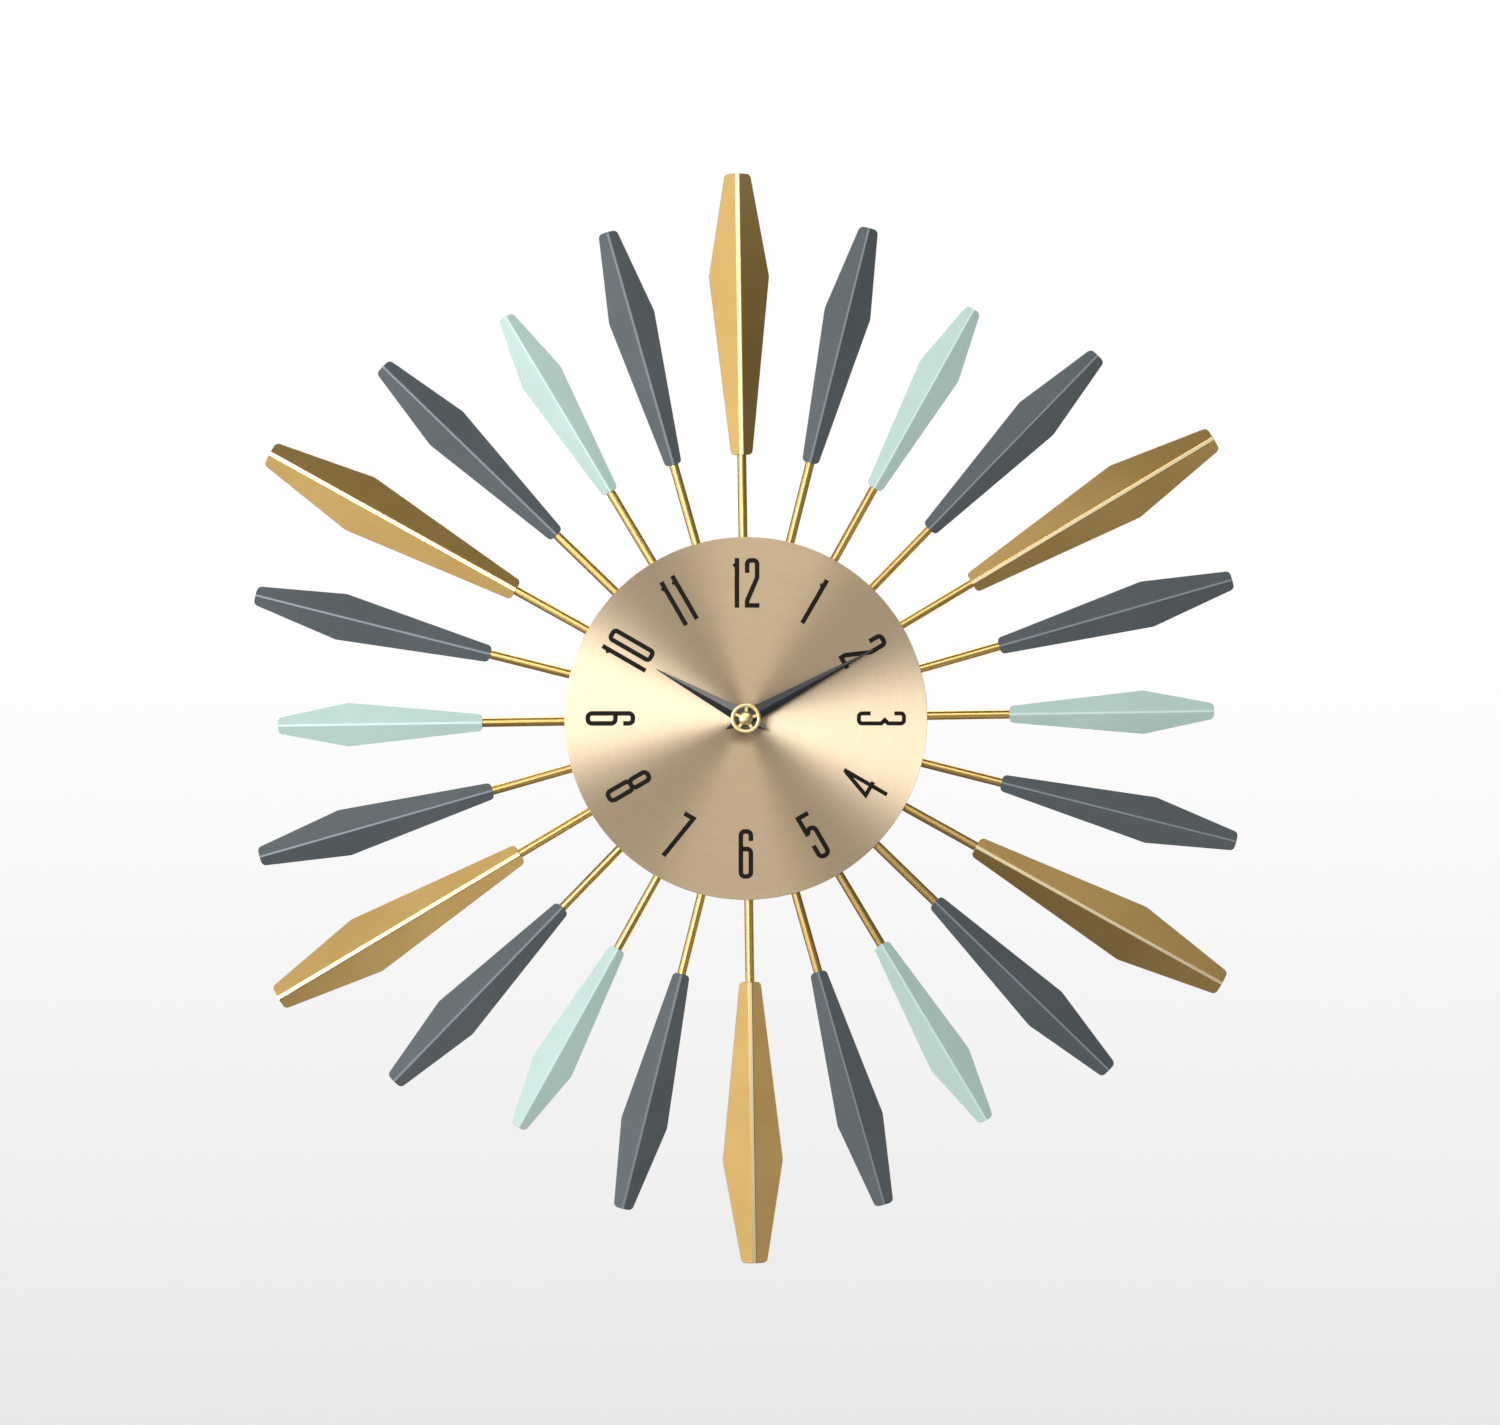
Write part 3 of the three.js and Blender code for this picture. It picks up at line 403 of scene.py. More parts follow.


# Each paint's crest colour is a highlight painted along the blades' ridges.
GOLD = Crested("satin_gold", "gold_paint", "caa662", "c39e59", 1.0, 0.33, 0.0005, 0.000004, 0.04, coat=0.4,
               coat_roughness=0.2, crest_colour="f5e3b6")
SLATE = Crested("satin_slate", "slate_paint", "52585a", "4c5354", 0.0, 0.36, 0.0005, 0.000006, 0.05,
                crest_colour="7c8588")
MINT = Crested("satin_mint", "mint_paint", "b8d0c3", "b2cabd", 0.0, 0.4, 0.0005, 0.000006, 0.05,
               crest_colour="cfe6de")
ROD_GOLD = Finish("lacquered_gold", "rod_gold", "dcb66c", "d6af64", 1.0, 0.33, 0.002, 0.0, 0.01)
DIAL_GOLD = RingBrushed("brushed_champagne", "dial_gold", "d7bf9c", "d0b793", 1.0, 0.42, 0.0004, 0.000003,
                        0.03, anisotropy=1.0)
INK = Finish("printed_ink", "hand_black", "130d08", "1a120c", 0.0, 0.5, 0.0003, 0.000002, 0.06,
             specular=0.12)
HAND_BLACK = Finish("black_lacquer", "hand_black", "121316", "17181b", 0.0, 0.3, 0.0004, 0.000002, 0.04,
                    coat=1.0, coat_roughness=0.22)
POLISHED_BRASS = Finish("bright_brass", "polished_brass", "e8cf97", "e0c68a", 1.0, 0.33, 0.0008, 0.000003,
                        0.04)
BRASS = Finish("turned_brass", "brass", "cfa957", "b98f3f", 1.0, 0.3, 0.0003, 0.000008, 0.08)
ZINC = Finish("zinc_plate", "zinc_steel", "b4b8bd", "9da2a8", 1.0, 0.34, 0.0012, 0.000006, 0.1)
MOTOR_STEEL = Finish("lamination_steel", "motor_steel", "8f9296", "7c7f84", 1.0, 0.42, 0.0006, 0.00001, 0.1)
MAGNET = Finish("sintered_magnet", "magnet", "55585c", "484b4f", 0.8, 0.5, 0.0004, 0.00001, 0.1)
RUBBER = Finish("matte_rubber", "rubber", "1c1c1d", "242425", 0.0, 0.85, 0.0005, 0.00003, 0.08)
CASE_PLASTIC = Finish("case_moulding", "case_plastic", "1d1e20", "232427", 0.0, 0.55, 0.0006, 0.00003, 0.1)
GEAR_PLASTIC = Finish("gear_moulding", "gear_plastic", "e9e6da", "dedaca", 0.0, 0.45, 0.0006, 0.00001, 0.08)
KNOB_PLASTIC = Finish("knob_moulding", "knob_plastic", "2f3034", "292a2e", 0.0, 0.48, 0.0006, 0.00002, 0.08)
BOARD_GREEN = Finish("solder_mask", "board_green", "1f5a3a", "184b30", 0.0, 0.4, 0.0004, 0.00001, 0.08,
                     coat=0.3)
EPOXY = Finish("cast_epoxy", "epoxy", "0e0e0f", "151517", 0.0, 0.25, 0.001, 0.00001, 0.05)
COPPER = Finish("enamelled_wire", "copper_wire", "b4683a", "9b552d", 0.95, 0.34, 0.0004, 0.00001, 0.08,
                coat=0.4)
BATTERY = Finish("battery_sleeve", "battery_can", "80848a", "777b80", 0.3, 0.3, 0.0006, 0.000003, 0.04,
                 coat=0.5)
SLEEVE_BAND = Finish("battery_band", "battery_can", "4f5f6b", "495863", 0.3, 0.3, 0.0006, 0.000003, 0.04,
                     coat=0.5)
PALE_MARK = Finish("pole_mark", "battery_can", "d9d9d6", "cfcfcb", 0.0, 0.5, 0.0006, 0.000002, 0.05)


# --------------------------------------------------------------------------------------------- mesh building


def polar(radius: float, degrees: float) -> Point:
    """Point of the face at a radius and a direction, counter-clockwise from 3 o'clock."""
    angle = math.radians(degrees)
    return radius * math.cos(angle), radius * math.sin(angle)


def at(x: float, depth: float, z: float) -> Vector:
    """Point at x and z, at a distance in front of the wall."""
    return Vector((x, -depth, z))


def to_mesh(bm: bmesh.types.BMesh, name: str) -> bpy.types.Mesh:
    """Turns a shape into a mesh with a name, and frees the shape."""
    mesh = bpy.data.meshes.new(name)
    bm.to_mesh(mesh)
    bm.free()
    return mesh


def placed(name: str, data: bpy.types.ID) -> bpy.types.Object:
    """Puts a mesh, a light or a camera in the scene as an object."""
    holder = bpy.data.objects.new(name, data)
    bpy.context.scene.collection.objects.link(holder)
    return holder


def soften(piece: bpy.types.Object, width: float, sharper_than: float, steps: int = 2) -> None:
    """Rounds a piece's sharp edges.

    Args:
        piece: The piece.
        width: Width of the rounding.
        sharper_than: Edges that bend more than this many degrees are rounded.
        steps: Steps of the rounding.
    """
    bevel = piece.modifiers.new("edges", "BEVEL")
    bevel.width = width * MM
    bevel.segments = steps
    bevel.limit_method = "ANGLE"
    bevel.angle_limit = math.radians(sharper_than)


def sort_by_place(bm: bmesh.types.BMesh) -> None:
    """Sorts points, edges and faces by where they are, because extruding leaves their order to chance."""
    for elements in (bm.verts, bm.edges, bm.faces):
        places = {}
        for element in elements:
            points = [element.co] if isinstance(element, bmesh.types.BMVert) else [v.co for v in element.verts]
            places[element] = sorted(tuple(round(c, 4) for c in point) for point in points)
        rank = {element: i for i, element in enumerate(sorted(places, key=places.get))}
        elements.sort(key=rank.get)
        elements.index_update()


def tidy(bm: bmesh.types.BMesh, gap: float = 1e-4) -> bmesh.types.BMesh:
    """Merges doubles, turns all faces outwards and puts everything in a fixed order.

    Args:
        bm: The shape, changed in place.
        gap: Points nearer than this are merged.

    Returns:
        The same shape.
    """
    sort_by_place(bm)
    bmesh.ops.remove_doubles(bm, verts=bm.verts, dist=gap)
    bmesh.ops.dissolve_degenerate(bm, dist=gap, edges=bm.edges)
    bmesh.ops.recalc_face_normals(bm, faces=bm.faces)
    sort_by_place(bm)
    return bm


def spun(profile: Sequence[Point], centre: Point = (0.0, 0.0), steps: int = 64) -> bmesh.types.BMesh:
    """Turns a closed profile round an axis that is square to the face.

    Args:
        profile: Points of [radius, depth].
        centre: The axis, as x and z.
        steps: Steps in a full turn.

    Returns:
        The turned shape.
    """
    bm = bmesh.new()
    points = [bm.verts.new(at(radius, depth, 0.0)) for radius, depth in profile]
    edges = [bm.edges.new(pair) for pair in zip(points, points[1:] + points[:1])
             if not (pair[0].co.x == 0.0 and pair[1].co.x == 0.0)]
    bmesh.ops.spin(bm, geom=points + edges, cent=(0, 0, 0), axis=FACE_AXIS, angle=math.tau, steps=steps,
                   use_merge=True)
    tidy(bm)
    bmesh.ops.translate(bm, vec=(centre[0], 0.0, centre[1]), verts=bm.verts)
    return bm


def along_x(bm: bmesh.types.BMesh, depth: float, z: float) -> bmesh.types.BMesh:
    """Lays a shape that was turned round the hand axis along X, so that its depths become places along X."""
    bmesh.ops.rotate(bm, cent=(0, 0, 0), matrix=Matrix.Rotation(math.pi / 2, 3, "Z"), verts=bm.verts)
    bmesh.ops.translate(bm, vec=at(0.0, depth, z), verts=bm.verts)
    return bm


def rounded(corners: Sequence[Corner], closed: bool = True, arc_step: float = 12.0) -> list[Point]:
    """Rounds the corners of an outline or a path.

    Args:
        corners: Corners of [x, z, radius], where a radius of 0 stays sharp.
        closed: Whether the last corner joins the first one.
        arc_step: Degrees of turn between points on an arc.

    Returns:
        Points along the outline.
    """
    points: list[Point] = []
    count = len(corners)
    for i, (x, z, radius) in enumerate(corners):
        here = Vector((x, z))
        if radius == 0.0 or (not closed and i in (0, count - 1)):
            points.append((x, z))
            continue
        before = (Vector(corners[i - 1][:2]) - here).normalized()
        after = (Vector(corners[(i + 1) % count][:2]) - here).normalized()
        half = before.angle(after) / 2
        middle = here + (before + after).normalized() * (radius / math.sin(half))
        start = here + before * (radius / math.tan(half)) - middle
        end = here + after * (radius / math.tan(half)) - middle
        turn = math.atan2(start.x * end.y - start.y * end.x, start.dot(end))
        steps = max(2, round(abs(math.degrees(turn)) / arc_step))
        for step in range(steps + 1):
            angle = turn * step / steps
            cos, sin = math.cos(angle), math.sin(angle)
            points.append((middle.x + start.x * cos - start.y * sin,
                           middle.y + start.x * sin + start.y * cos))
    return points


def thickened(bm: bmesh.types.BMesh, faces: list[bmesh.types.BMFace], thickness: float) -> bmesh.types.BMesh:
    """Makes faces that lie in one depth solid, towards the front.

    Args:
        bm: The shape with the faces.
        faces: The faces.
        thickness: How thick the solid gets.

    Returns:
        The same shape, tidied.
    """
    grown = bmesh.ops.extrude_face_region(bm, geom=faces)
    moved = [v for v in grown["geom"] if isinstance(v, bmesh.types.BMVert)]
    bmesh.ops.translate(bm, vec=at(0.0, thickness, 0.0), verts=moved)
    return tidy(bm)


def ring(bore: float, outer: float, back: float, front: float, edge: float,
         steps: int = 72) -> bmesh.types.BMesh:
    """Makes a flat ring round the hand axis, with its rim chamfered.

    Args:
        bore: Radius of its hole.
        outer: Its outer radius.
        back: Depth of its back.
        front: Depth of its front.
        edge: Width of the chamfers.
        steps: Steps in a turn.

    Returns:
        The ring.
    """
    return spun([(bore, back), (outer - edge, back), (outer, back + edge), (outer, front - edge),
                 (outer - edge, front), (bore, front)], steps=steps)


def slab(outline: Sequence[Point], back: float, front: float) -> bmesh.types.BMesh:
    """Makes an outline in the face solid between two depths.

    Args:
        outline: Points of [x, z].
        back: Depth of the back face.
        front: Depth of the front face.

    Returns:
        The solid.
    """
    bm = bmesh.new()
    face = bm.faces.new([bm.verts.new(at(x, back, z)) for x, z in outline])
    return thickened(bm, [face], front - back)


def block(low: Point, high: Point, back: float, front: float, corner: float = 0.0) -> bmesh.types.BMesh:
    """Makes a box between two corners of the face and two depths, with its upright edges rounded."""
    (x0, z0), (x1, z1) = low, high
    corners = [(x0, z0, corner), (x1, z0, corner), (x1, z1, corner), (x0, z1, corner)]
    return slab(rounded(corners), back, front)


def rod(radius: float, low: float, high: float, depth: float, edge: float,
        sides: int = 32) -> bmesh.types.BMesh:
    """Makes a round bar along Z with rounded ends.

    Args:
        radius: The bar's radius.
        low: Where it starts.
        high: Where it ends.
        depth: Depth of its axis.
        edge: Rounding of the ends.
        sides: Sides round the bar.

    Returns:
        The bar.
    """
    bm = bmesh.new()
    bmesh.ops.create_cone(bm, cap_ends=True, segments=sides, radius1=radius, radius2=radius, depth=high - low)
    rims = [e for e in bm.edges if abs(e.verts[0].co.z - e.verts[1].co.z) < edge / 10]
    bmesh.ops.bevel(bm, geom=rims, offset=edge, segments=3, profile=0.5, affect="EDGES", material=-1)
    bmesh.ops.translate(bm, vec=at(0.0, depth, (low + high) / 2), verts=bm.verts)
    return tidy(bm)


def merged(shapes: Iterable[bmesh.types.BMesh]) -> bmesh.types.BMesh:
    """Puts several shapes in one, side by side, and frees them."""
    whole = bmesh.new()
    for shape in shapes:
        mesh = to_mesh(shape, "part")
        whole.from_mesh(mesh)
        bpy.data.meshes.remove(mesh)
    return whole


def turned_clockwise(bm: bmesh.types.BMesh, degrees: float) -> bmesh.types.BMesh:
    """Turns a shape round the hand axis, clockwise as seen from the front."""
    turn = Matrix.Rotation(math.radians(degrees), 3, "Y")
    bmesh.ops.rotate(bm, cent=(0, 0, 0), matrix=turn, verts=bm.verts)
    return bm


class Cut(Enum):
    """Ways to combine two solids."""

    AWAY = "DIFFERENCE"
    ON = "UNION"
    COMMON = "INTERSECT"


def combined(base: bmesh.types.BMesh, tools: Sequence[bmesh.types.BMesh], cut: Cut) -> bmesh.types.BMesh:
    """Cuts tools away from a solid, or joins them on, and frees them.

    Args:
        base: The solid.
        tools: The solids to cut or join.
        cut: What to do with the tools.

    Returns:
        The combined solid.
    """
    body = placed("solid", to_mesh(base, "solid"))
    others = [placed("tool", to_mesh(tool, "tool")) for tool in tools]
    for other in others:
        modifier = body.modifiers.new("combine", "BOOLEAN")
        modifier.operation = cut.value
        modifier.solver = "EXACT"
        modifier.object = other
    bpy.context.view_layer.update()
    evaluated = body.evaluated_get(bpy.context.evaluated_depsgraph_get())
    whole = bmesh.new()
    whole.from_mesh(evaluated.to_mesh())
    evaluated.to_mesh_clear()
    for holder in [body, *others]:
        mesh = holder.data
        bpy.data.objects.remove(holder)
        bpy.data.meshes.remove(mesh)
    return tidy(whole)


def add_round_uv(mesh: bpy.types.Mesh) -> None:
    """Adds a UV map whose U runs round the hand axis and whose V runs outwards."""
    layer = mesh.uv_layers.new(name=ROUND_UV)
    on_axis, outwards = 1e-7, 10
    for polygon in mesh.polygons:
        middle = math.atan2(polygon.center.z, polygon.center.x)
        for loop in polygon.loop_indices:
            place = mesh.vertices[mesh.loops[loop].vertex_index].co
            radius = math.hypot(place.x, place.z)
            angle = math.atan2(place.z, place.x) if radius > on_axis else middle
            swing = (angle - middle + math.pi) % math.tau - math.pi
            layer.data[loop].uv = ((middle + swing) / math.tau, radius * outwards)


@dataclass
class Piece:
    """A shape on its way to being a finished piece.

    Attributes:
        name: The piece's name.
        shape: The shape in millimetres.
        finish: Its surface finish.
        body: The CAD body that it rides on.
        stands_for: CAD nodes that it replaces.
        edge: Rounding of its sharp edges, or 0.
        smooth_to: Edges that bend less than this many degrees are shaded smooth.
    """

    name: str
    shape: bmesh.types.BMesh
    finish: Finish
    body: Body = Body.CLOCK
    stands_for: tuple[str, ...] = ()
    edge: float = 0.0
    smooth_to: float = 35.0

    def make(self) -> bpy.types.Object:
        """Finishes the piece.

        Returns:
            The object, in place on its body.
        """
        bmesh.ops.scale(self.shape, vec=(MM, MM, MM), verts=self.shape.verts)
        mesh = to_mesh(self.shape, self.name)
        mesh.shade_smooth()
        mesh.set_sharp_from_angle(angle=math.radians(self.smooth_to))
        if isinstance(self.finish, RingBrushed):
            add_round_uv(mesh)
        mesh.materials.append(self.finish.material())
        made = placed(self.name, mesh)
        if self.edge:
            soften(made, self.edge, self.smooth_to)
        weigh = made.modifiers.new("normals", "WEIGHTED_NORMAL")
        weigh.keep_sharp = True
        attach(made, self.body.value)
        if self.stands_for:
            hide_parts(*self.stands_for)
        log.info("%s: %d faces", self.name, len(mesh.polygons))
        return made


# ------------------------------------------------------------------------------------------------------ star


@dataclass(frozen=True)
class FoldedSheet:
    """Sheet folded along Z, with its ridge to the front.

    Attributes:
        fold: Slope of each half in degrees, away from the plane of the face.
        sheet: Thickness.
        bend: Outside radius of the two bends beside the crest.
        apex: Depth of the ridge's front.
        crest: Half the width of the flat crest.
        bend_steps: Strips in each bend.
    """

    fold: float
    sheet: float
    bend: float
    apex: float
    crest: float = 0.0
    bend_steps: int = 4

    def depth(self, x: float) -> float:
        """Depth of the front surface at a distance from the ridge."""
        slope = math.radians(self.fold)
        out = max(0.0, abs(x) - self.crest)
        edge = self.bend * math.sin(slope)
        if out <= edge:
            return self.apex - self.bend + math.sqrt(self.bend ** 2 - out ** 2)
        return self.apex - self.bend * (1 - math.cos(slope)) - (out - edge) * math.tan(slope)

    def lines(self) -> list[float]:
        """Distances from the ridge of the lines across which the sheet bends."""
        slope = math.radians(self.fold)
        right = [self.crest + self.bend * math.sin(slope * i / self.bend_steps)
                 for i in range(self.bend_steps + 1)]
        return sorted({-x for x in right} | set(right))

    def shape(self, outline: Sequence[Point]) -> bmesh.types.BMesh:
        """Folds an outline and gives it its thickness.

        Args:
            outline: Points of [x, z] as seen from the front.

        Returns:
            The folded sheet, with a mask of its crest on its points.
        """
        on_line, beside_crest = 1e-6, 0.01
        bm = bmesh.new()
        bm.faces.new([bm.verts.new((x, 0.0, z)) for x, z in outline])
        for line in self.lines():
            bmesh.ops.bisect_plane(bm, geom=[*bm.verts, *bm.edges, *bm.faces], plane_co=(line, 0, 0),
                                   plane_no=(1, 0, 0), dist=on_line)
        # This mask carries the painted highlight along the crest, and its smoother roughness.
        mask = bm.verts.layers.float.new(CREST)
        for vert in bm.verts:
            vert[mask] = 1.0 if abs(vert.co.x) < self.crest + beside_crest else 0.0
            vert.co.y = -self.depth(vert.co.x)
        bmesh.ops.recalc_face_normals(bm, faces=bm.faces)
        bm.faces.ensure_lookup_table()
        if bm.faces[0].normal.y > 0:
            bmesh.ops.reverse_faces(bm, faces=bm.faces)
        bmesh.ops.solidify(bm, geom=bm.faces, thickness=self.sheet)
        return tidy(bm)


@dataclass(frozen=True)
class BladeStyle:
    """One of the three kinds of blade.

    Attributes:
        finish: Its paint.
        reach: Distance of the tip from the hand axis.
        widest_at: Distance of the widest place from the hand axis.
        width: Width there.
        base_width: Width of the base.
        tip_width: Width of the tip.
        crest: Half the width of the flat crest along the fold.
    """

    finish: Finish
    reach: float
    widest_at: float
    width: float
    base_width: float
    tip_width: float
    crest: float


class Ray(Enum):
    """Kinds of ray, by the first word of their blades' names."""

    GOLD = "gold"
    SLATE = "slate"
    MINT = "mint"


BLADES = {
    Ray.GOLD: BladeStyle(GOLD, 305.0, 248.0, 34.0, 12.0, 14.4, 0.8),
    Ray.SLATE: BladeStyle(SLATE, 283.0, 234.0, 26.6, 9.4, 10.6, 0.35),
    Ray.MINT: BladeStyle(MINT, 262.0, 223.0, 24.6, 9.4, 8.8, 0.35),
}


@dataclass
class Star:
    """The 24 rods with their blades, welded to a round hub plate.

    Attributes:
        pattern: Kinds of ray in turn, clockwise from 12 o'clock.
        count: Number of rays.
        turn: Degrees by which the star is turned counter-clockwise.
        blade_start: Distance of the blades' base from the hand axis.
        corner: Rounding of a blade's four end corners.
        shoulder: Rounding of a blade's widest place.
        rod_radius: Radius of the rods.
        rod_low: Where a rod starts.
        rod_high: Where a rod ends, inside its blade.
        rod_depth: Depth of the rods' axes.
        hub_radius: Radius of the hub plate.
        hub_back: Depth of the hub plate's back.
        hub_front: Depth of its front.
        hub_hole: Radius of its hole.
        hub_edge: Rounding of its rim.
        fold: Slope of each half of a blade in degrees.
        sheet: Thickness of the blades.
        bend: Outside radius of the bends beside a blade's crest.
        apex: Depth of the front of a blade's ridge.
        hub_welds: Places along a rod of the beads on the hub plate.
        blade_welds: Places along a rod of the beads on the blade.
    """

    pattern: tuple[Ray, ...] = (Ray.GOLD, Ray.SLATE, Ray.MINT, Ray.SLATE)
    count: int = 24
    turn: float = 0.9
    blade_start: float = 147.5
    corner: float = 2.6
    shoulder: float = 7.0
    rod_radius: float = 2.5
    rod_low: float = 48.0
    rod_high: float = 192.5
    rod_depth: float = 16.3
    hub_radius: float = 88.0
    hub_back: float = 18.5
    hub_front: float = 20.0
    hub_hole: float = 4.1
    hub_edge: float = 0.4
    fold: float = 28.0
    sheet: float = 0.8
    bend: float = 1.3
    apex: float = 19.887
    hub_welds: Point = (58.0, 80.0)
    blade_welds: Point = (157.0, 185.0)

    def clockwise(self, ray: int) -> float:
        """Returns a ray's turn from 12 o'clock, in degrees clockwise."""
        return ray * 360.0 / self.count - self.turn

    def place_name(self, ray: int) -> str:
        """Returns a ray's place on the clock face, such as 12 or 1_30."""
        return f"{ray // 2 or 12}" + ("_30" if ray % 2 else "")

    def blade(self, style: BladeStyle) -> bmesh.types.BMesh:
        """Makes a blade that points to 12 o'clock."""
        half, base, tip = style.width / 2, style.base_width / 2, style.tip_width / 2
        outline = rounded([
            (-base, self.blade_start, self.corner), (base, self.blade_start, self.corner),
            (half, style.widest_at, self.shoulder), (tip, style.reach, self.corner),
            (-tip, style.reach, self.corner), (-half, style.widest_at, self.shoulder),
        ], arc_step=10.0)
        return FoldedSheet(self.fold, self.sheet, self.bend, self.apex, style.crest).shape(outline)

    def bead(self, x: float, depth: float, z: float, length: float, width: float) -> bmesh.types.BMesh:
        """Makes a weld bead, a low lump with a rippled skin.

        Args:
            x: Its place across the rod.
            depth: Its depth.
            z: Its place along the rod.
            length: Its length.
            width: Its width.

        Returns:
            The bead.
        """
        bm = bmesh.new()
        bmesh.ops.create_icosphere(bm, subdivisions=3, radius=0.5)
        for vert in bm.verts:
            along = 0.08 * math.sin(26 * vert.co.z) * (1 - abs(2 * vert.co.z))
            ripple = 1 + along + 0.04 * math.sin(31 * vert.co.x)
            vert.co.x *= ripple
            vert.co.y *= ripple
        bmesh.ops.scale(bm, vec=(width, width, length), verts=bm.verts)
        bmesh.ops.translate(bm, vec=at(x, depth, z), verts=bm.verts)
        return bm

    def welds(self) -> bmesh.types.BMesh:
        """Makes the beads on both sides of a rod that points to 12 o'clock."""
        side = self.rod_radius * 0.9
        rows = ((self.hub_welds, self.hub_back - 0.3, 7.0, 1.8),
                (self.blade_welds, self.rod_depth + 1.3, 6.0, 1.6))
        return merged([self.bead(end * side, depth, z, length, width)
                       for places, depth, length, width in rows for end in (-1, 1) for z in places])

    def make(self) -> None:
        """Makes the rods, welds, hub plate and blades."""
        hub = ring(self.hub_hole, self.hub_radius, self.hub_back, self.hub_front, self.hub_edge, steps=144)
        Piece("hub_plate", hub, ROD_GOLD, stands_for=("spoke_frame",)).make()
        for ray in range(self.count):
            kind = self.pattern[ray % len(self.pattern)]
            style = BLADES[kind]
            turn, place = self.clockwise(ray), self.place_name(ray)
            bar = rod(self.rod_radius, self.rod_low, self.rod_high, self.rod_depth, 0.5)
            Piece(f"rod_{place}", turned_clockwise(bar, turn), ROD_GOLD).make()
            Piece(f"welds_{place}", turned_clockwise(self.welds(), turn), ROD_GOLD, smooth_to=80.0).make()
            node = f"{kind.value}_blade_{place}"
            Piece(f"folded_{node}", turned_clockwise(self.blade(style), turn), style.finish,
                  stands_for=(node,), edge=0.25).make()


# ------------------------------------------------------------------------------------------------------ dial


@dataclass(frozen=True)
class Stroke:
    """A stroke of a number.

    Attributes:
        path: Corners of [x, z, radius] along its middle.
        closed: Whether it closes on itself.
        width: Its width.
    """

    path: tuple[Corner, ...]
    closed: bool = False
    width: float = 2.6

    def solid(self, back: float, front: float) -> bmesh.types.BMesh:
        """Makes the stroke solid between two depths.

        Args:
            back: Depth of its back.
            front: Depth of its front.

        Returns:
            The solid stroke, with mitred corners.
        """
        path = [Vector(point) for point in rounded(self.path, self.closed, arc_step=15.0)]
        count = len(path)
        bm = bmesh.new()
        pairs = []
        for i, here in enumerate(path):
            first, last = not self.closed and i == 0, not self.closed and i == count - 1
            into = (here - path[i - 1]).normalized() if not first else (path[1] - here).normalized()
            out = (path[(i + 1) % count] - here).normalized() if not last else into
            sides = [Vector((-d.y, d.x)) for d in (into, out)]
            mitre = (sides[0] + sides[1]) / (1 + sides[0].dot(sides[1])) * self.width / 2
            pairs.append([bm.verts.new(at(here.x + s * mitre.x, back, here.y + s * mitre.y))
                          for s in (-1, 1)])
        following = pairs[1:] + (pairs[:1] if self.closed else [])
        faces = [bm.faces.new((a[0], b[0], b[1], a[1])) for a, b in zip(pairs, following)]
        return thickened(bm, faces, front - back)


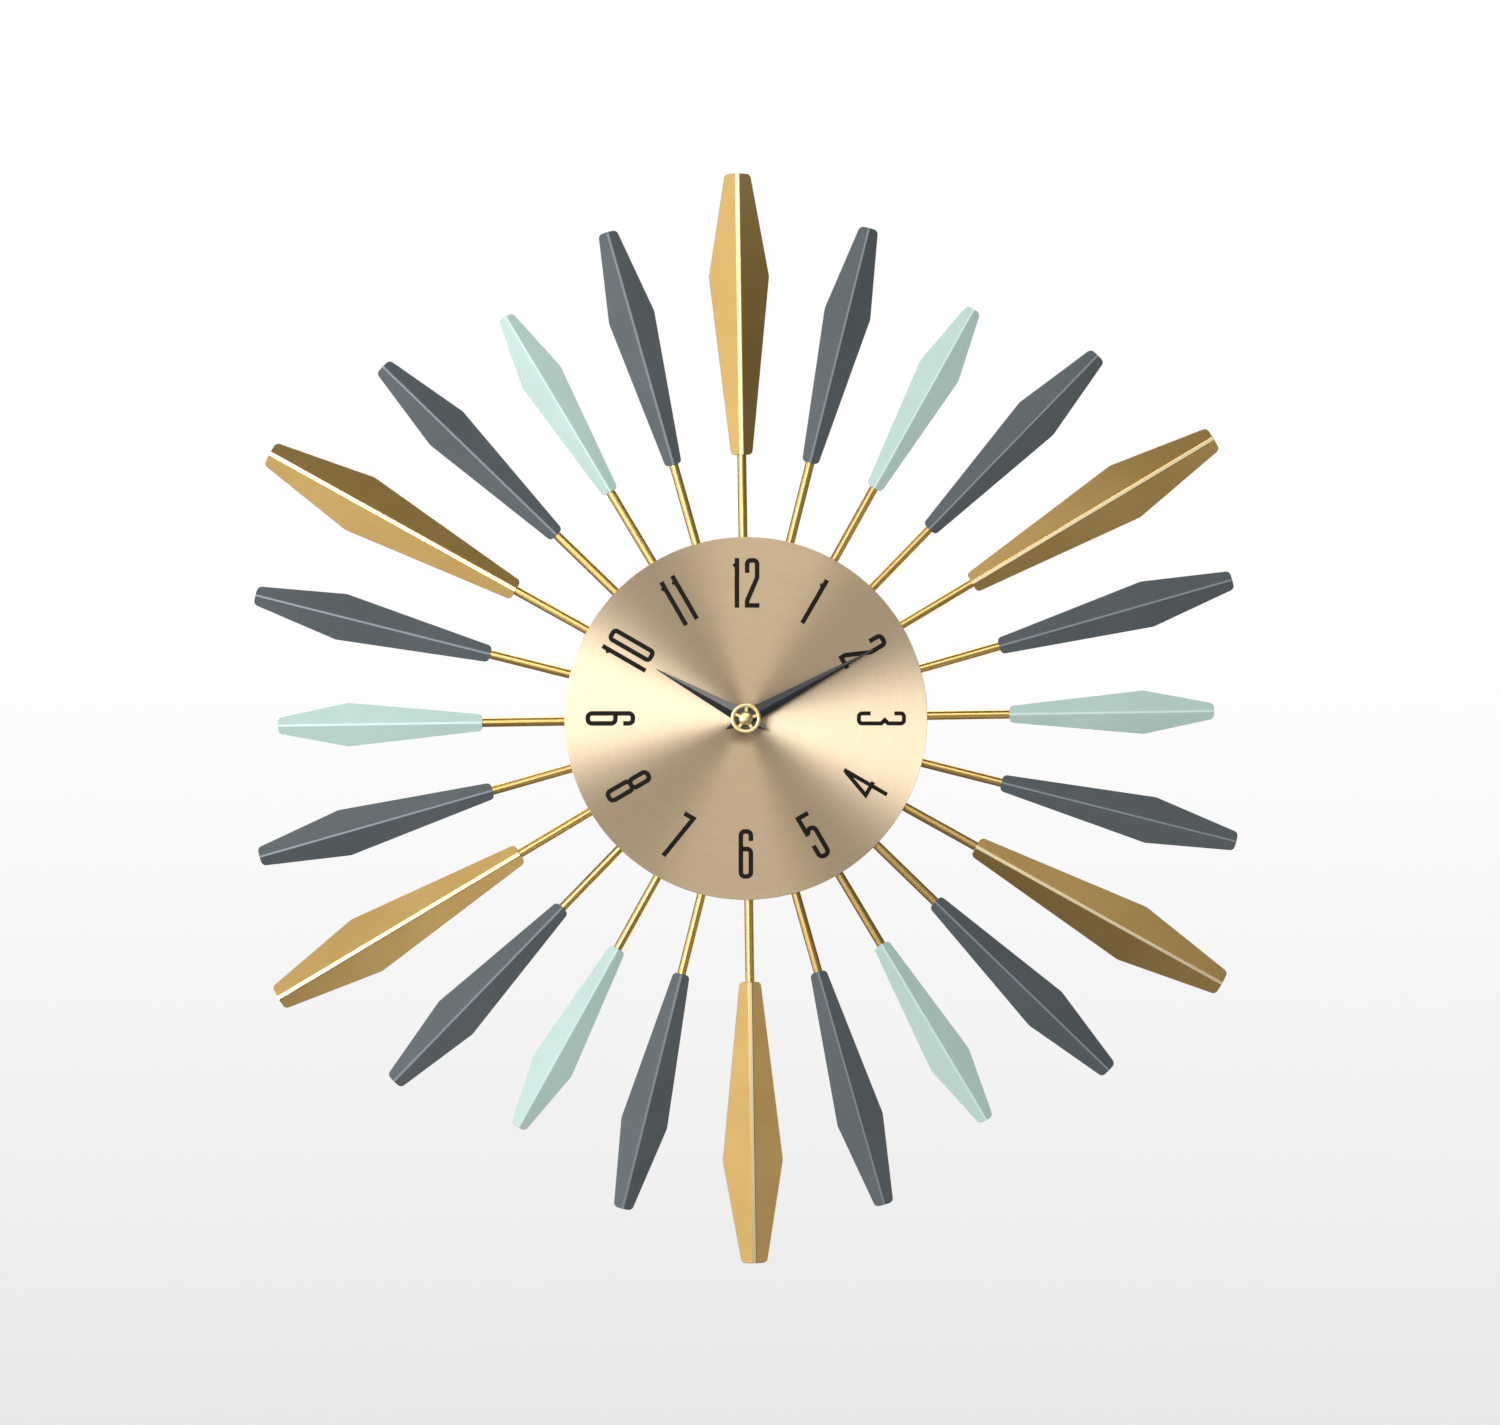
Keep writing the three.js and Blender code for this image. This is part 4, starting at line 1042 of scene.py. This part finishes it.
@dataclass
class Numerals:
    """The tall narrow numbers printed on the dial.

    Attributes:
        height: Height of a number.
        width: Width of a round digit.
        pen: Width of the strokes.
        gap: Air between two digits.
        middle: Distance of the numbers' middle from the hand axis.
        back: Depth of the ink's back, on the dial.
        ink: Thickness of the ink.
        inward: Numbers whose top points to the hand axis.
    """

    height: float = 27.8
    width: float = 8.2
    pen: float = 2.6
    gap: float = 3.1
    middle: float = 75.8
    back: float = 21.0
    ink: float = 0.06
    inward: tuple[int, ...] = (4, 5, 6, 7, 8)

    def strokes(self, digit: str) -> tuple[list[Stroke], Point]:
        """Describes a digit, with the middle of its lower left corner's stroke at the origin; 9 is a turned 6.

        Args:
            digit: The digit.

        Returns:
            Its strokes, and its left and right ends.
        """
        w, h, half = self.width - self.pen, self.height - self.pen, self.pen / 2
        ends = (-half, w + half)
        thin = 0.88 * self.pen
        match digit:
            case "0":
                r = 1.9
                return [Stroke(((0, 0, r), (w, 0, r), (w, h, r), (0, h, r)), True)], ends
            case "1":
                stem = Stroke(((0, -half, 0), (0, h + half, 0)))
                flag = Stroke(((-2.0, h - 3.2, 0), (0.2, h - 1.6, 0)), width=2.0)
                return [stem, flag], (-2.6, half)
            case "2":
                r = 2.1
                return [Stroke(((0, h - 7.0, 0), (0, h, r), (w, h, r), (w, 15.6, 3.0), (0, 2.6, 1.5),
                                (0, 0, 0), (w + half, 0, 0)))], ends
            case "3":
                r, waist, notch = 1.8, 14.5, 1.9
                return [Stroke(((0, h - 5.4, 0), (0, h, r), (w, h, r), (w, waist + notch, 0.4),
                                (w - notch, waist, 0), (w, waist - notch, 0.4), (w, 0, r), (0, 0, r),
                                (0, 6.6, 0)), width=thin)], ends
            case "4":
                stem, cross = 5.3, 8.9
                upright = Stroke(((stem, -half, 0), (stem, h + half, 0)), width=thin)
                arms = Stroke(((stem - 0.4, h, 0), (stem - 6.3, cross, 0), (stem + 2.3, cross, 0)), width=thin)
                return [upright, arms], (stem - 7.4, stem + 2.3)
            case "5":
                r, top = 2.5, h - 8.0
                flag = Stroke(((w + 0.9, h, 0), (0, h, 0), (0, h - 11.2, 0)))
                bowl = Stroke(((0, top - 2.6, 0), (2.2, top, 1.2), (w, top, r), (w, 0, r), (0, 0, r),
                               (0, 7.8, 0)))
                return [flag, bowl], ends
            case "6":
                r, loop = 2.3, 15.4
                return [Stroke(((w, h - 5.4, 0), (w, h, r), (0, h, r), (0, 0, r), (w, 0, r), (w, loop, r),
                                (0.6, loop, 0)))], ends
            case "7":
                return [Stroke(((-0.4, h, 0), (w - 0.2, h, 0), (w - 4.4, -half, 0)))], ends
            case "8":
                r, waist, inset = 2.2, 14.2, 0.2
                lower = Stroke(((0, 0, r), (w, 0, r), (w, waist, r), (0, waist, r)), True)
                upper = Stroke(((inset, waist, r), (w - inset, waist, r), (w - inset, h, r), (inset, h, r)),
                               True)
                return [lower, upper], ends
            case _:
                six, _ = self.strokes("6")
                return [Stroke(tuple((w - x, h - z, r) for x, z, r in stroke.path), stroke.closed,
                               stroke.width) for stroke in six], ends

    def number(self, value: int) -> bmesh.types.BMesh:
        """Makes a number in its place on the dial.

        Args:
            value: The number, from 1 to 12.

        Returns:
            The number, as thin as ink.
        """
        solids, places, pen_at = [], [], 0.0
        for digit in str(value):
            strokes, (left, right) = self.strokes(digit)
            places.append((strokes, pen_at - left))
            pen_at += right - left + self.gap
        total = pen_at - self.gap
        for strokes, shift in places:
            for stroke in strokes:
                solid = stroke.solid(self.back, self.back + self.ink)
                bmesh.ops.translate(solid, vec=(shift - total / 2, 0, self.pen / 2 - self.height / 2),
                                    verts=solid.verts)
                solids.append(solid)
        shape = combined(solids[0], solids[1:], Cut.ON) if len(solids) > 1 else solids[0]
        if value in self.inward:
            turned_clockwise(shape, 180.0)
        bmesh.ops.translate(shape, vec=(0, 0, self.middle), verts=shape.verts)
        return turned_clockwise(shape, value * 30.0)

    def make(self) -> None:
        """Makes the twelve numbers."""
        for value in range(1, 13):
            Piece(f"number_{value}", self.number(value), INK, smooth_to=20.0).make()


@dataclass
class Dial:
    """The brushed dial, with its washer, nut, gasket and the threaded bushing that holds it.

    Attributes:
        radius: Radius of the dial.
        back: Depth of its back.
        front: Depth of its front.
        hole: Radius of the holes round the bushing.
        rim: Rounding of the dial's rim.
        washer_radius: Radius of the washer.
        washer_front: Depth of its front.
        nut_flats: Width of the nut over its flats.
        nut_front: Depth of its front.
        gasket_radius: Radius of the gasket.
        gasket_back: Depth of its back.
        gasket_front: Depth of its front.
        bushing_bore: Radius of the bushing's bore.
        bushing_radius: Radius over its thread.
        bushing_front: Depth of its front.
        flange_radius: Radius of its flange.
        flange_back: Depth of the flange's back.
        flange_front: Depth of the flange's front.
        pitch: Distance between its threads.
    """

    radius: float = 101.5
    back: float = 20.0
    front: float = 21.0
    hole: float = 4.1
    rim: float = 0.3
    washer_radius: float = 8.0
    washer_front: float = 21.5
    nut_flats: float = 11.0
    nut_front: float = 23.5
    gasket_radius: float = 18.0
    gasket_back: float = 17.5
    gasket_front: float = 18.5
    bushing_bore: float = 2.7
    bushing_radius: float = 4.0
    bushing_front: float = 24.5
    flange_radius: float = 6.0
    flange_back: float = 15.0
    flange_front: float = 15.75
    pitch: float = 0.5

    def soft_ring(self, outer: float, back: float, front: float, edge: float,
                  steps: int = 96) -> bmesh.types.BMesh:
        """Makes a flat ring round the bushing, with rounded edges.

        Args:
            outer: Its outer radius.
            back: Depth of its back.
            front: Depth of its front.
            edge: Rounding of its edges.
            steps: Steps in a turn.

        Returns:
            The ring.
        """
        soft = 0.3 * edge
        return spun([
            (self.hole, back + edge), (self.hole + edge, back), (outer - edge, back),
            (outer - soft, back + soft), (outer, back + edge), (outer, front - edge),
            (outer - soft, front - soft), (outer - edge, front), (self.hole + edge, front),
            (self.hole, front - edge)], steps=steps)

    def nut(self, flats: float, back: float, front: float) -> bmesh.types.BMesh:
        """Makes a hexagon nut with chamfered corners and a chamfered hole."""
        corner = flats / math.sqrt(3) + 0.01
        mouth, past = self.hole + 0.5, 1
        hexagon = slab([polar(corner, 60 * i) for i in range(6)], back, front)
        chamfer = spun([(0.0, back), (corner, back), (corner, front - 0.7), (flats / 2 - 0.3, front),
                        (0.0, front)], steps=48)
        bore = spun([(0.0, back - past), (self.hole, back - past), (self.hole, front - 0.4),
                     (mouth, front + 0.1), (mouth, front + past), (0.0, front + past)], steps=48)
        return combined(combined(hexagon, [chamfer], Cut.COMMON), [bore], Cut.AWAY)

    def bushing(self) -> bmesh.types.BMesh:
        """Makes the threaded bushing: a flange, and a tube with its thread drawn as rings."""
        bore, rim, edge = self.bushing_bore, self.flange_radius, 0.2
        flange = spun([
            (bore, self.flange_back), (rim - edge, self.flange_back), (rim, self.flange_back + edge),
            (rim, self.flange_front - 0.15), (rim - edge, self.flange_front), (bore, self.flange_front)])
        root = self.bushing_radius - 0.55 * self.pitch
        low, high = self.flange_front, self.bushing_front
        count = int((high - low) / self.pitch)
        profile: list[Point] = [(bore, low)]
        for start in (low + i * self.pitch for i in range(count)):
            profile += [(root, start), (self.bushing_radius, start + 0.4 * self.pitch),
                        (self.bushing_radius, start + 0.6 * self.pitch)]
        profile += [(root, low + count * self.pitch), (root, high), (bore, high)]
        return merged([flange, spun(profile)])

    def make(self) -> None:
        """Makes the dial and its fastening."""
        Piece("brushed_dial", self.soft_ring(self.radius, self.back, self.front, self.rim, 240), DIAL_GOLD,
              stands_for=("dial_plate",)).make()
        Numerals(back=self.front).make()
        Piece("turned_washer", self.soft_ring(self.washer_radius, self.front, self.washer_front, 0.12), BRASS,
              stands_for=("dial_washer",)).make()
        Piece("chamfered_nut", self.nut(self.nut_flats, self.washer_front, self.nut_front), BRASS,
              stands_for=("dial_nut",), edge=0.1).make()
        Piece("moulded_gasket", self.soft_ring(self.gasket_radius, self.gasket_back, self.gasket_front, 0.3),
              RUBBER, stands_for=("rubber_gasket",)).make()
        Piece("threaded_tube", self.bushing(), BRASS, stands_for=("threaded_bushing",)).make()


# ----------------------------------------------------------------------------------------------------- hands


@dataclass(frozen=True)
class Hand:
    """A folded hand with a pointed tail.

    Attributes:
        node: The CAD node that it stands for.
        body: The body that it rides on.
        tip: Distance of its tip from the hand axis.
        clockwise: Its turn from 12 o'clock, in degrees clockwise.
        back: Depth of its rear edge.
        bore: Radius of its hole.
        tail: Distance of its tail's end from the hand axis.
        width: Its width at the hand axis.
        point: Its width at both ends.
        sheet: Thickness of its sheet.
        fold: Slope of each half in degrees.
        bend: Outside radius of the fold.
        hub_radius: Radius of the disc under its hole.
        hub_thickness: Thickness of that disc.
        hub_edge: Chamfer of that disc's rim.
    """

    node: str
    body: Body
    tip: float
    clockwise: float
    back: float
    bore: float
    tail: float = 12.6
    width: float = 9.0
    point: float = 0.5
    sheet: float = 0.4
    fold: float = 18.0
    bend: float = 0.5
    hub_radius: float = 6.8
    hub_thickness: float = 0.6
    hub_edge: float = 0.15

    def make(self) -> None:
        """Makes the hand, turned to the time that it shows."""
        half, point, slope = self.width / 2, self.point / 2, math.radians(self.fold)
        apex = self.back + half * math.tan(slope) + self.sheet / math.cos(slope)
        outline = rounded([(-point, -self.tail, 0.0), (point, -self.tail, 0.0), (half, 0.0, 2.0),
                           (point, self.tip, 0.0), (-point, self.tip, 0.0), (-half, 0.0, 2.0)])
        blade = FoldedSheet(self.fold, self.sheet, self.bend, apex).shape(outline)
        low, high = self.back - 2, apex + 2
        drill = spun([(0.0, low), (self.bore, low), (self.bore, high), (0.0, high)], steps=48)
        blade = combined(blade, [drill], Cut.AWAY)
        hub = ring(self.bore, self.hub_radius, self.back, self.back + self.hub_thickness, self.hub_edge)
        shape = turned_clockwise(merged([blade, hub]), self.clockwise)
        Piece(f"folded_{self.node}", shape, HAND_BLACK, self.body, (self.node,), edge=0.08,
              smooth_to=30.0).make()


HANDS = (
    Hand("hour_hand", Body.HOUR, tip=57.0, clockwise=90.0 - 151.2, back=25.0, bore=2.6),
    Hand("minute_hand", Body.MINUTE, tip=80.5, clockwise=90.0 - 28.4, back=27.483, bore=1.7),
)


@dataclass
class HandNut:
    """The spoked ring nut with a domed button that holds the hands.

    Attributes:
        outer: Outer radius of the ring.
        inner: Inner radius of the ring.
        back: Depth of its back.
        ring: Thickness of the ring.
        spokes: Number of spokes.
        turn: Turn of the first spoke from 12 o'clock, in degrees counter-clockwise.
        spoke_width: Width of a spoke.
        spoke_thickness: Thickness of a spoke.
        spoke_lift: Distance of the spokes from the ring's back.
        button: Radius of the button.
        button_side: Height of the button's side.
        dome: Height of the dome on it.
        squareness: Power that makes the ring's section squarer than an ellipse, where 1 is an ellipse.
    """

    outer: float = 8.5
    inner: float = 6.15
    back: float = 29.47
    ring: float = 1.2
    spokes: int = 5
    turn: float = -3.5
    spoke_width: float = 1.8
    spoke_thickness: float = 0.8
    spoke_lift: float = 0.15
    button: float = 3.85
    button_side: float = 1.6
    dome: float = 1.4
    squareness: float = 0.7

    def squared(self, share: float) -> float:
        """Moves a sine or cosine outwards, for a section between an ellipse and a rectangle."""
        return math.copysign(abs(share) ** self.squareness, share)

    def make(self) -> None:
        """Makes the nut in one piece of polished brass."""
        middle, reach, half = (self.outer + self.inner) / 2, (self.outer - self.inner) / 2, self.ring / 2
        section_steps, dome_steps = 24, 10
        section = [(middle + reach * self.squared(math.cos(a)),
                    self.back + half + half * self.squared(math.sin(a)))
                   for a in (math.tau * i / section_steps for i in range(section_steps))]
        parts = [spun(section, steps=96)]
        width, low = self.spoke_width / 2, self.back + self.spoke_lift
        for i in range(self.spokes):
            spoke = block((-width, 1.5), (width, middle), low, low + self.spoke_thickness)
            parts.append(turned_clockwise(spoke, -self.turn + 360.0 * i / self.spokes))
        side = self.back + self.button_side
        dome = [(self.button * math.cos(a), side + self.dome * math.sin(a))
                for a in (math.pi / 2 * i / dome_steps for i in range(dome_steps))]
        profile = [(0.0, self.back), (self.button - 0.2, self.back), (self.button, self.back + 0.2), *dome,
                   (0.0, side + self.dome)]
        parts.append(spun(profile, steps=72))
        Piece("spoked_nut", merged(parts), POLISHED_BRASS, Body.MINUTE, ("hand_nut",), edge=0.18,
              smooth_to=40.0).make()


# ----------------------------------------------------------------------------------------------------- works


WORKS = {
    "stator": MOTOR_STEEL, "coil_bobbin": GEAR_PLASTIC, "coil_winding": COPPER, "coil_core": MOTOR_STEEL,
    "stator_screw_left": ZINC, "stator_screw_right": ZINC, "circuit_board": BOARD_GREEN,
    "control_chip": EPOXY, "quartz_crystal": ZINC, "rotor": MAGNET, "step_wheel": GEAR_PLASTIC,
    "seconds_wheel": GEAR_PLASTIC, "third_wheel": GEAR_PLASTIC, "centre_wheel": GEAR_PLASTIC,
    "clutch_spring": ZINC, "middle_plate": GEAR_PLASTIC, "hour_wheel": GEAR_PLASTIC, "cannon_tube": BRASS,
    "minute_wheel": GEAR_PLASTIC, "setting_knob": KNOB_PLASTIC, "battery_contact_positive": ZINC,
    "battery_contact_negative": ZINC, "movement_case": CASE_PLASTIC, "rear_cover": CASE_PLASTIC,
    "hanger_bracket": ZINC,
}
SOFT_EDGES = {"movement_case": 0.6, "rear_cover": 0.15, "hanger_bracket": 0.12, "setting_knob": 0.06}


@dataclass
class Movement:
    """The quartz movement: its CAD nodes, with soft edges, and the battery in its bay.

    Attributes:
        battery_radius: Radius of the battery.
        battery_low: Where the battery's flat end is.
        battery_high: Where its nub ends.
        nub: Height of the nub.
        nub_radius: Radius of the nub.
        battery_depth: Depth of the battery's axis.
        battery_z: Height of its axis.
        band: Where the sleeve's darker band starts, as a distance from the shoulder.
        mark_arm: Length of the pole marks' bars.
        mark_pen: Width of those bars.
        mark_place: Distance of the pole marks from the sleeve's joins.
    """

    battery_radius: float = 7.25
    battery_low: float = -24.7
    battery_high: float = 25.8
    nub: float = 1.2
    nub_radius: float = 2.75
    battery_depth: float = 7.6
    battery_z: float = -19.1
    band: float = 13.0
    mark_arm: float = 3.6
    mark_pen: float = 0.9
    mark_place: float = 6.0

    def dress_nodes(self) -> None:
        """Gives the CAD nodes that are shown as they are their finishes and soft edges."""
        for name, finish in WORKS.items():
            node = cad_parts[name]
            node.data.materials.clear()
            node.data.materials.append(finish.material())
            if name in SOFT_EDGES:
                soften(node, SOFT_EDGES[name], sharper_than=40.0)
            log.info("dressed %s", name)

    def lying(self, profile: Sequence[Point]) -> bmesh.types.BMesh:
        """Turns a profile of [radius, place along the battery] round the battery's axis."""
        return along_x(spun(profile, steps=72), self.battery_depth, self.battery_z)

    def battery(self) -> None:
        """Makes the battery: bare steel can ends, and a plain grey sleeve with a darker band and pole marks."""
        r, low, high = self.battery_radius, self.battery_low, self.battery_high - self.nub
        nub, tip = self.nub_radius, high + self.nub
        can = self.lying([
            (0.0, low), (r - 1.6, low), (r - 1.3, low + 0.25), (r - 0.5, low + 0.3), (r - 0.15, low + 0.7),
            (r - 0.15, high - 0.8), (r - 0.6, high - 0.3), (r - 1.2, high - 0.25), (r - 1.5, high - 0.6),
            (nub + 0.2, high - 0.6), (nub, high - 0.3), (nub, tip - 0.3), (nub - 0.3, tip), (0.0, tip)])
        Piece("battery_can_ends", can, ZINC, stands_for=("aa_battery",)).make()
        join = high - self.band
        under, skin, edge = r - 0.13, r - 0.02, 0.12
        for name, finish, start, end in (("sleeve_main", BATTERY, low + 0.6, join),
                                         ("sleeve_band", SLEEVE_BAND, join, high - 0.6)):
            profile = [(under, start), (skin, start), (r, start + edge), (r, end - edge), (skin, end),
                       (under, end)]
            Piece(name, self.lying(profile), finish).make()
        back = self.battery_depth - r
        level, upright = (self.mark_arm, self.mark_pen), (self.mark_pen, self.mark_arm)
        for name, bars, place in (("plus_mark", (level, upright), join + self.mark_place),
                                  ("minus_mark", (upright,), low + self.mark_place)):
            marks = [block((place - w / 2, self.battery_z - h / 2), (place + w / 2, self.battery_z + h / 2),
                           back - 0.02, back + 0.35) for w, h in bars]
            mark = combined(marks[0], marks[1:], Cut.ON) if len(marks) > 1 else marks[0]
            Piece(name, mark, PALE_MARK).make()

    def make(self) -> None:
        """Makes the movement's looks."""
        self.dress_nodes()
        self.battery()


# ----------------------------------------------------------------------------------------------------- stage


@dataclass(frozen=True)
class Softbox:
    """A rectangular studio light that faces the middle of the clock.

    Attributes:
        name: Its name.
        direction: Its direction from the clock, in degrees counter-clockwise from 3 o'clock.
        off_axis: Its angle from the line straight in front of the clock, in degrees.
        distance: Its distance in metres.
        size: Its width and height in metres.
        brightness: Brightness of its face, where 1 is white.
        tint: Its colour as six hexadecimal digits.
    """

    name: str
    direction: float
    off_axis: float
    distance: float
    size: Point
    brightness: float
    tint: str = "ffffff"

    def make(self) -> None:
        """Makes the light."""
        light = bpy.data.lights.new(self.name, "AREA")
        light.shape = "RECTANGLE"
        light.size, light.size_y = self.size
        light.energy = math.pi * self.size[0] * self.size[1] * self.brightness
        light.color = linear(self.tint)[:3]
        holder = placed(self.name, light)
        x, z = polar(math.sin(math.radians(self.off_axis)), self.direction)
        way = Vector((x, -math.cos(math.radians(self.off_axis)), z))
        holder.location = way * self.distance
        holder.rotation_mode = "QUATERNION"
        holder.rotation_quaternion = way.to_track_quat("Z", "Y")
        holder.visible_camera = False


@dataclass
class Studio:
    """Camera, backdrop and lights.

    Attributes:
        field: Width of what the picture shows at the clock, in metres.
        field_depth: Depth at which it shows that width, in metres.
        aim: Where the picture's middle lies on the face, in metres.
        distance: Distance of the camera from the wall, in metres.
        sensor: Width of the camera's sensor, in millimetres.
    """

    field: float = 0.83925
    field_depth: float = 0.02
    aim: Point = (0.0023, 0.0033)
    distance: float = 2.6
    sensor: float = 36.0

    def camera(self) -> None:
        """Makes the camera, straight in front of the dial."""
        data = bpy.data.cameras.new("camera")
        data.sensor_width = self.sensor
        data.lens = self.sensor * (self.distance - self.field_depth) / self.field
        holder = placed("camera", data)
        holder.location = (self.aim[0], -self.distance, self.aim[1])
        holder.rotation_euler = (math.pi / 2, 0.0, 0.0)
        bpy.context.scene.camera = holder

    def backdrop(self) -> None:
        """Makes the soft surrounding light, with a white backdrop that greys downwards."""
        world = bpy.data.worlds.new("studio")
        bpy.context.scene.world = world
        world.use_nodes = True
        nodes = Nodes(world.node_tree)
        way = nodes.add("ShaderNodeTexCoord").outputs["Generated"]
        height = nodes.add("ShaderNodeSeparateXYZ", {"Vector": way}).outputs["Z"]
        seen = nodes.blend(nodes.spread(height, 0.0, 1.0, -0.16, 0.02), grey(0.8), grey(1.0))
        lit = nodes.blend(nodes.spread(height, 0.0, 1.0, -0.6, 0.6), grey(0.16), grey(0.13))
        camera_ray = nodes.add("ShaderNodeLightPath").outputs["Is Camera Ray"]
        shown = nodes.blend(camera_ray, lit, seen)
        world.node_tree.links.new(shown, world.node_tree.nodes["Background"].inputs["Color"])

    def lights(self) -> None:
        """Makes the lights, each from its name, direction, angle, distance, size, brightness and tint."""
        for box in (
            Softbox("wedge_left", 172.0, 28.0, 1.6, (0.62, 0.62), 13.5, "e8f0ff"),
            Softbox("wedge_top", 81.0, 30.0, 1.6, (0.7, 0.5), 5.2),
            Softbox("front", 90.0, 1.0, 3.0, (1.1, 1.1), 1.1),
            Softbox("side_left", 176.0, 58.0, 1.05, (0.5, 1.0), 1.05),
            Softbox("low_left", 222.0, 57.0, 1.04, (0.45, 0.45), 1.2),
            Softbox("high_left", 128.0, 57.0, 1.04, (0.6, 0.4), 1.1),
            Softbox("high_middle", 109.0, 57.0, 1.04, (0.28, 0.28), 0.95),
            Softbox("far_left", 180.0, 88.0, 1.4, (0.6, 1.4), 3.0),
            Softbox("side_right", 344.0, 59.0, 1.05, (0.4, 0.4), 0.8),
            Softbox("high_right", 44.0, 57.0, 1.05, (0.36, 0.36), 0.8),
            Softbox("low_right", 288.0, 57.0, 1.05, (0.4, 0.4), 1.2),
            Softbox("lower_right", 324.0, 57.0, 1.05, (0.3, 0.3), 0.4),
            Softbox("rear_top", 100.0, 135.0, 1.6, (1.6, 1.0), 3.2),
            Softbox("rear_low", 320.0, 140.0, 1.6, (1.2, 1.0), 1.8),
        ):
            box.make()

    def make(self) -> None:
        """Makes the whole studio."""
        self.camera()
        self.backdrop()
        self.lights()
        bpy.context.scene.view_settings.view_transform = "Standard"
        log.info("studio ready")


def main() -> None:
    """Builds the clock's looks, sub-assembly by sub-assembly."""
    logging.basicConfig(level=logging.INFO, format="%(name)s: %(message)s")
    Studio().make()
    Movement().make()
    Star().make()
    Dial().make()
    for hand in HANDS:
        hand.make()
    HandNut().make()


if __name__ == "__main__":
    main()
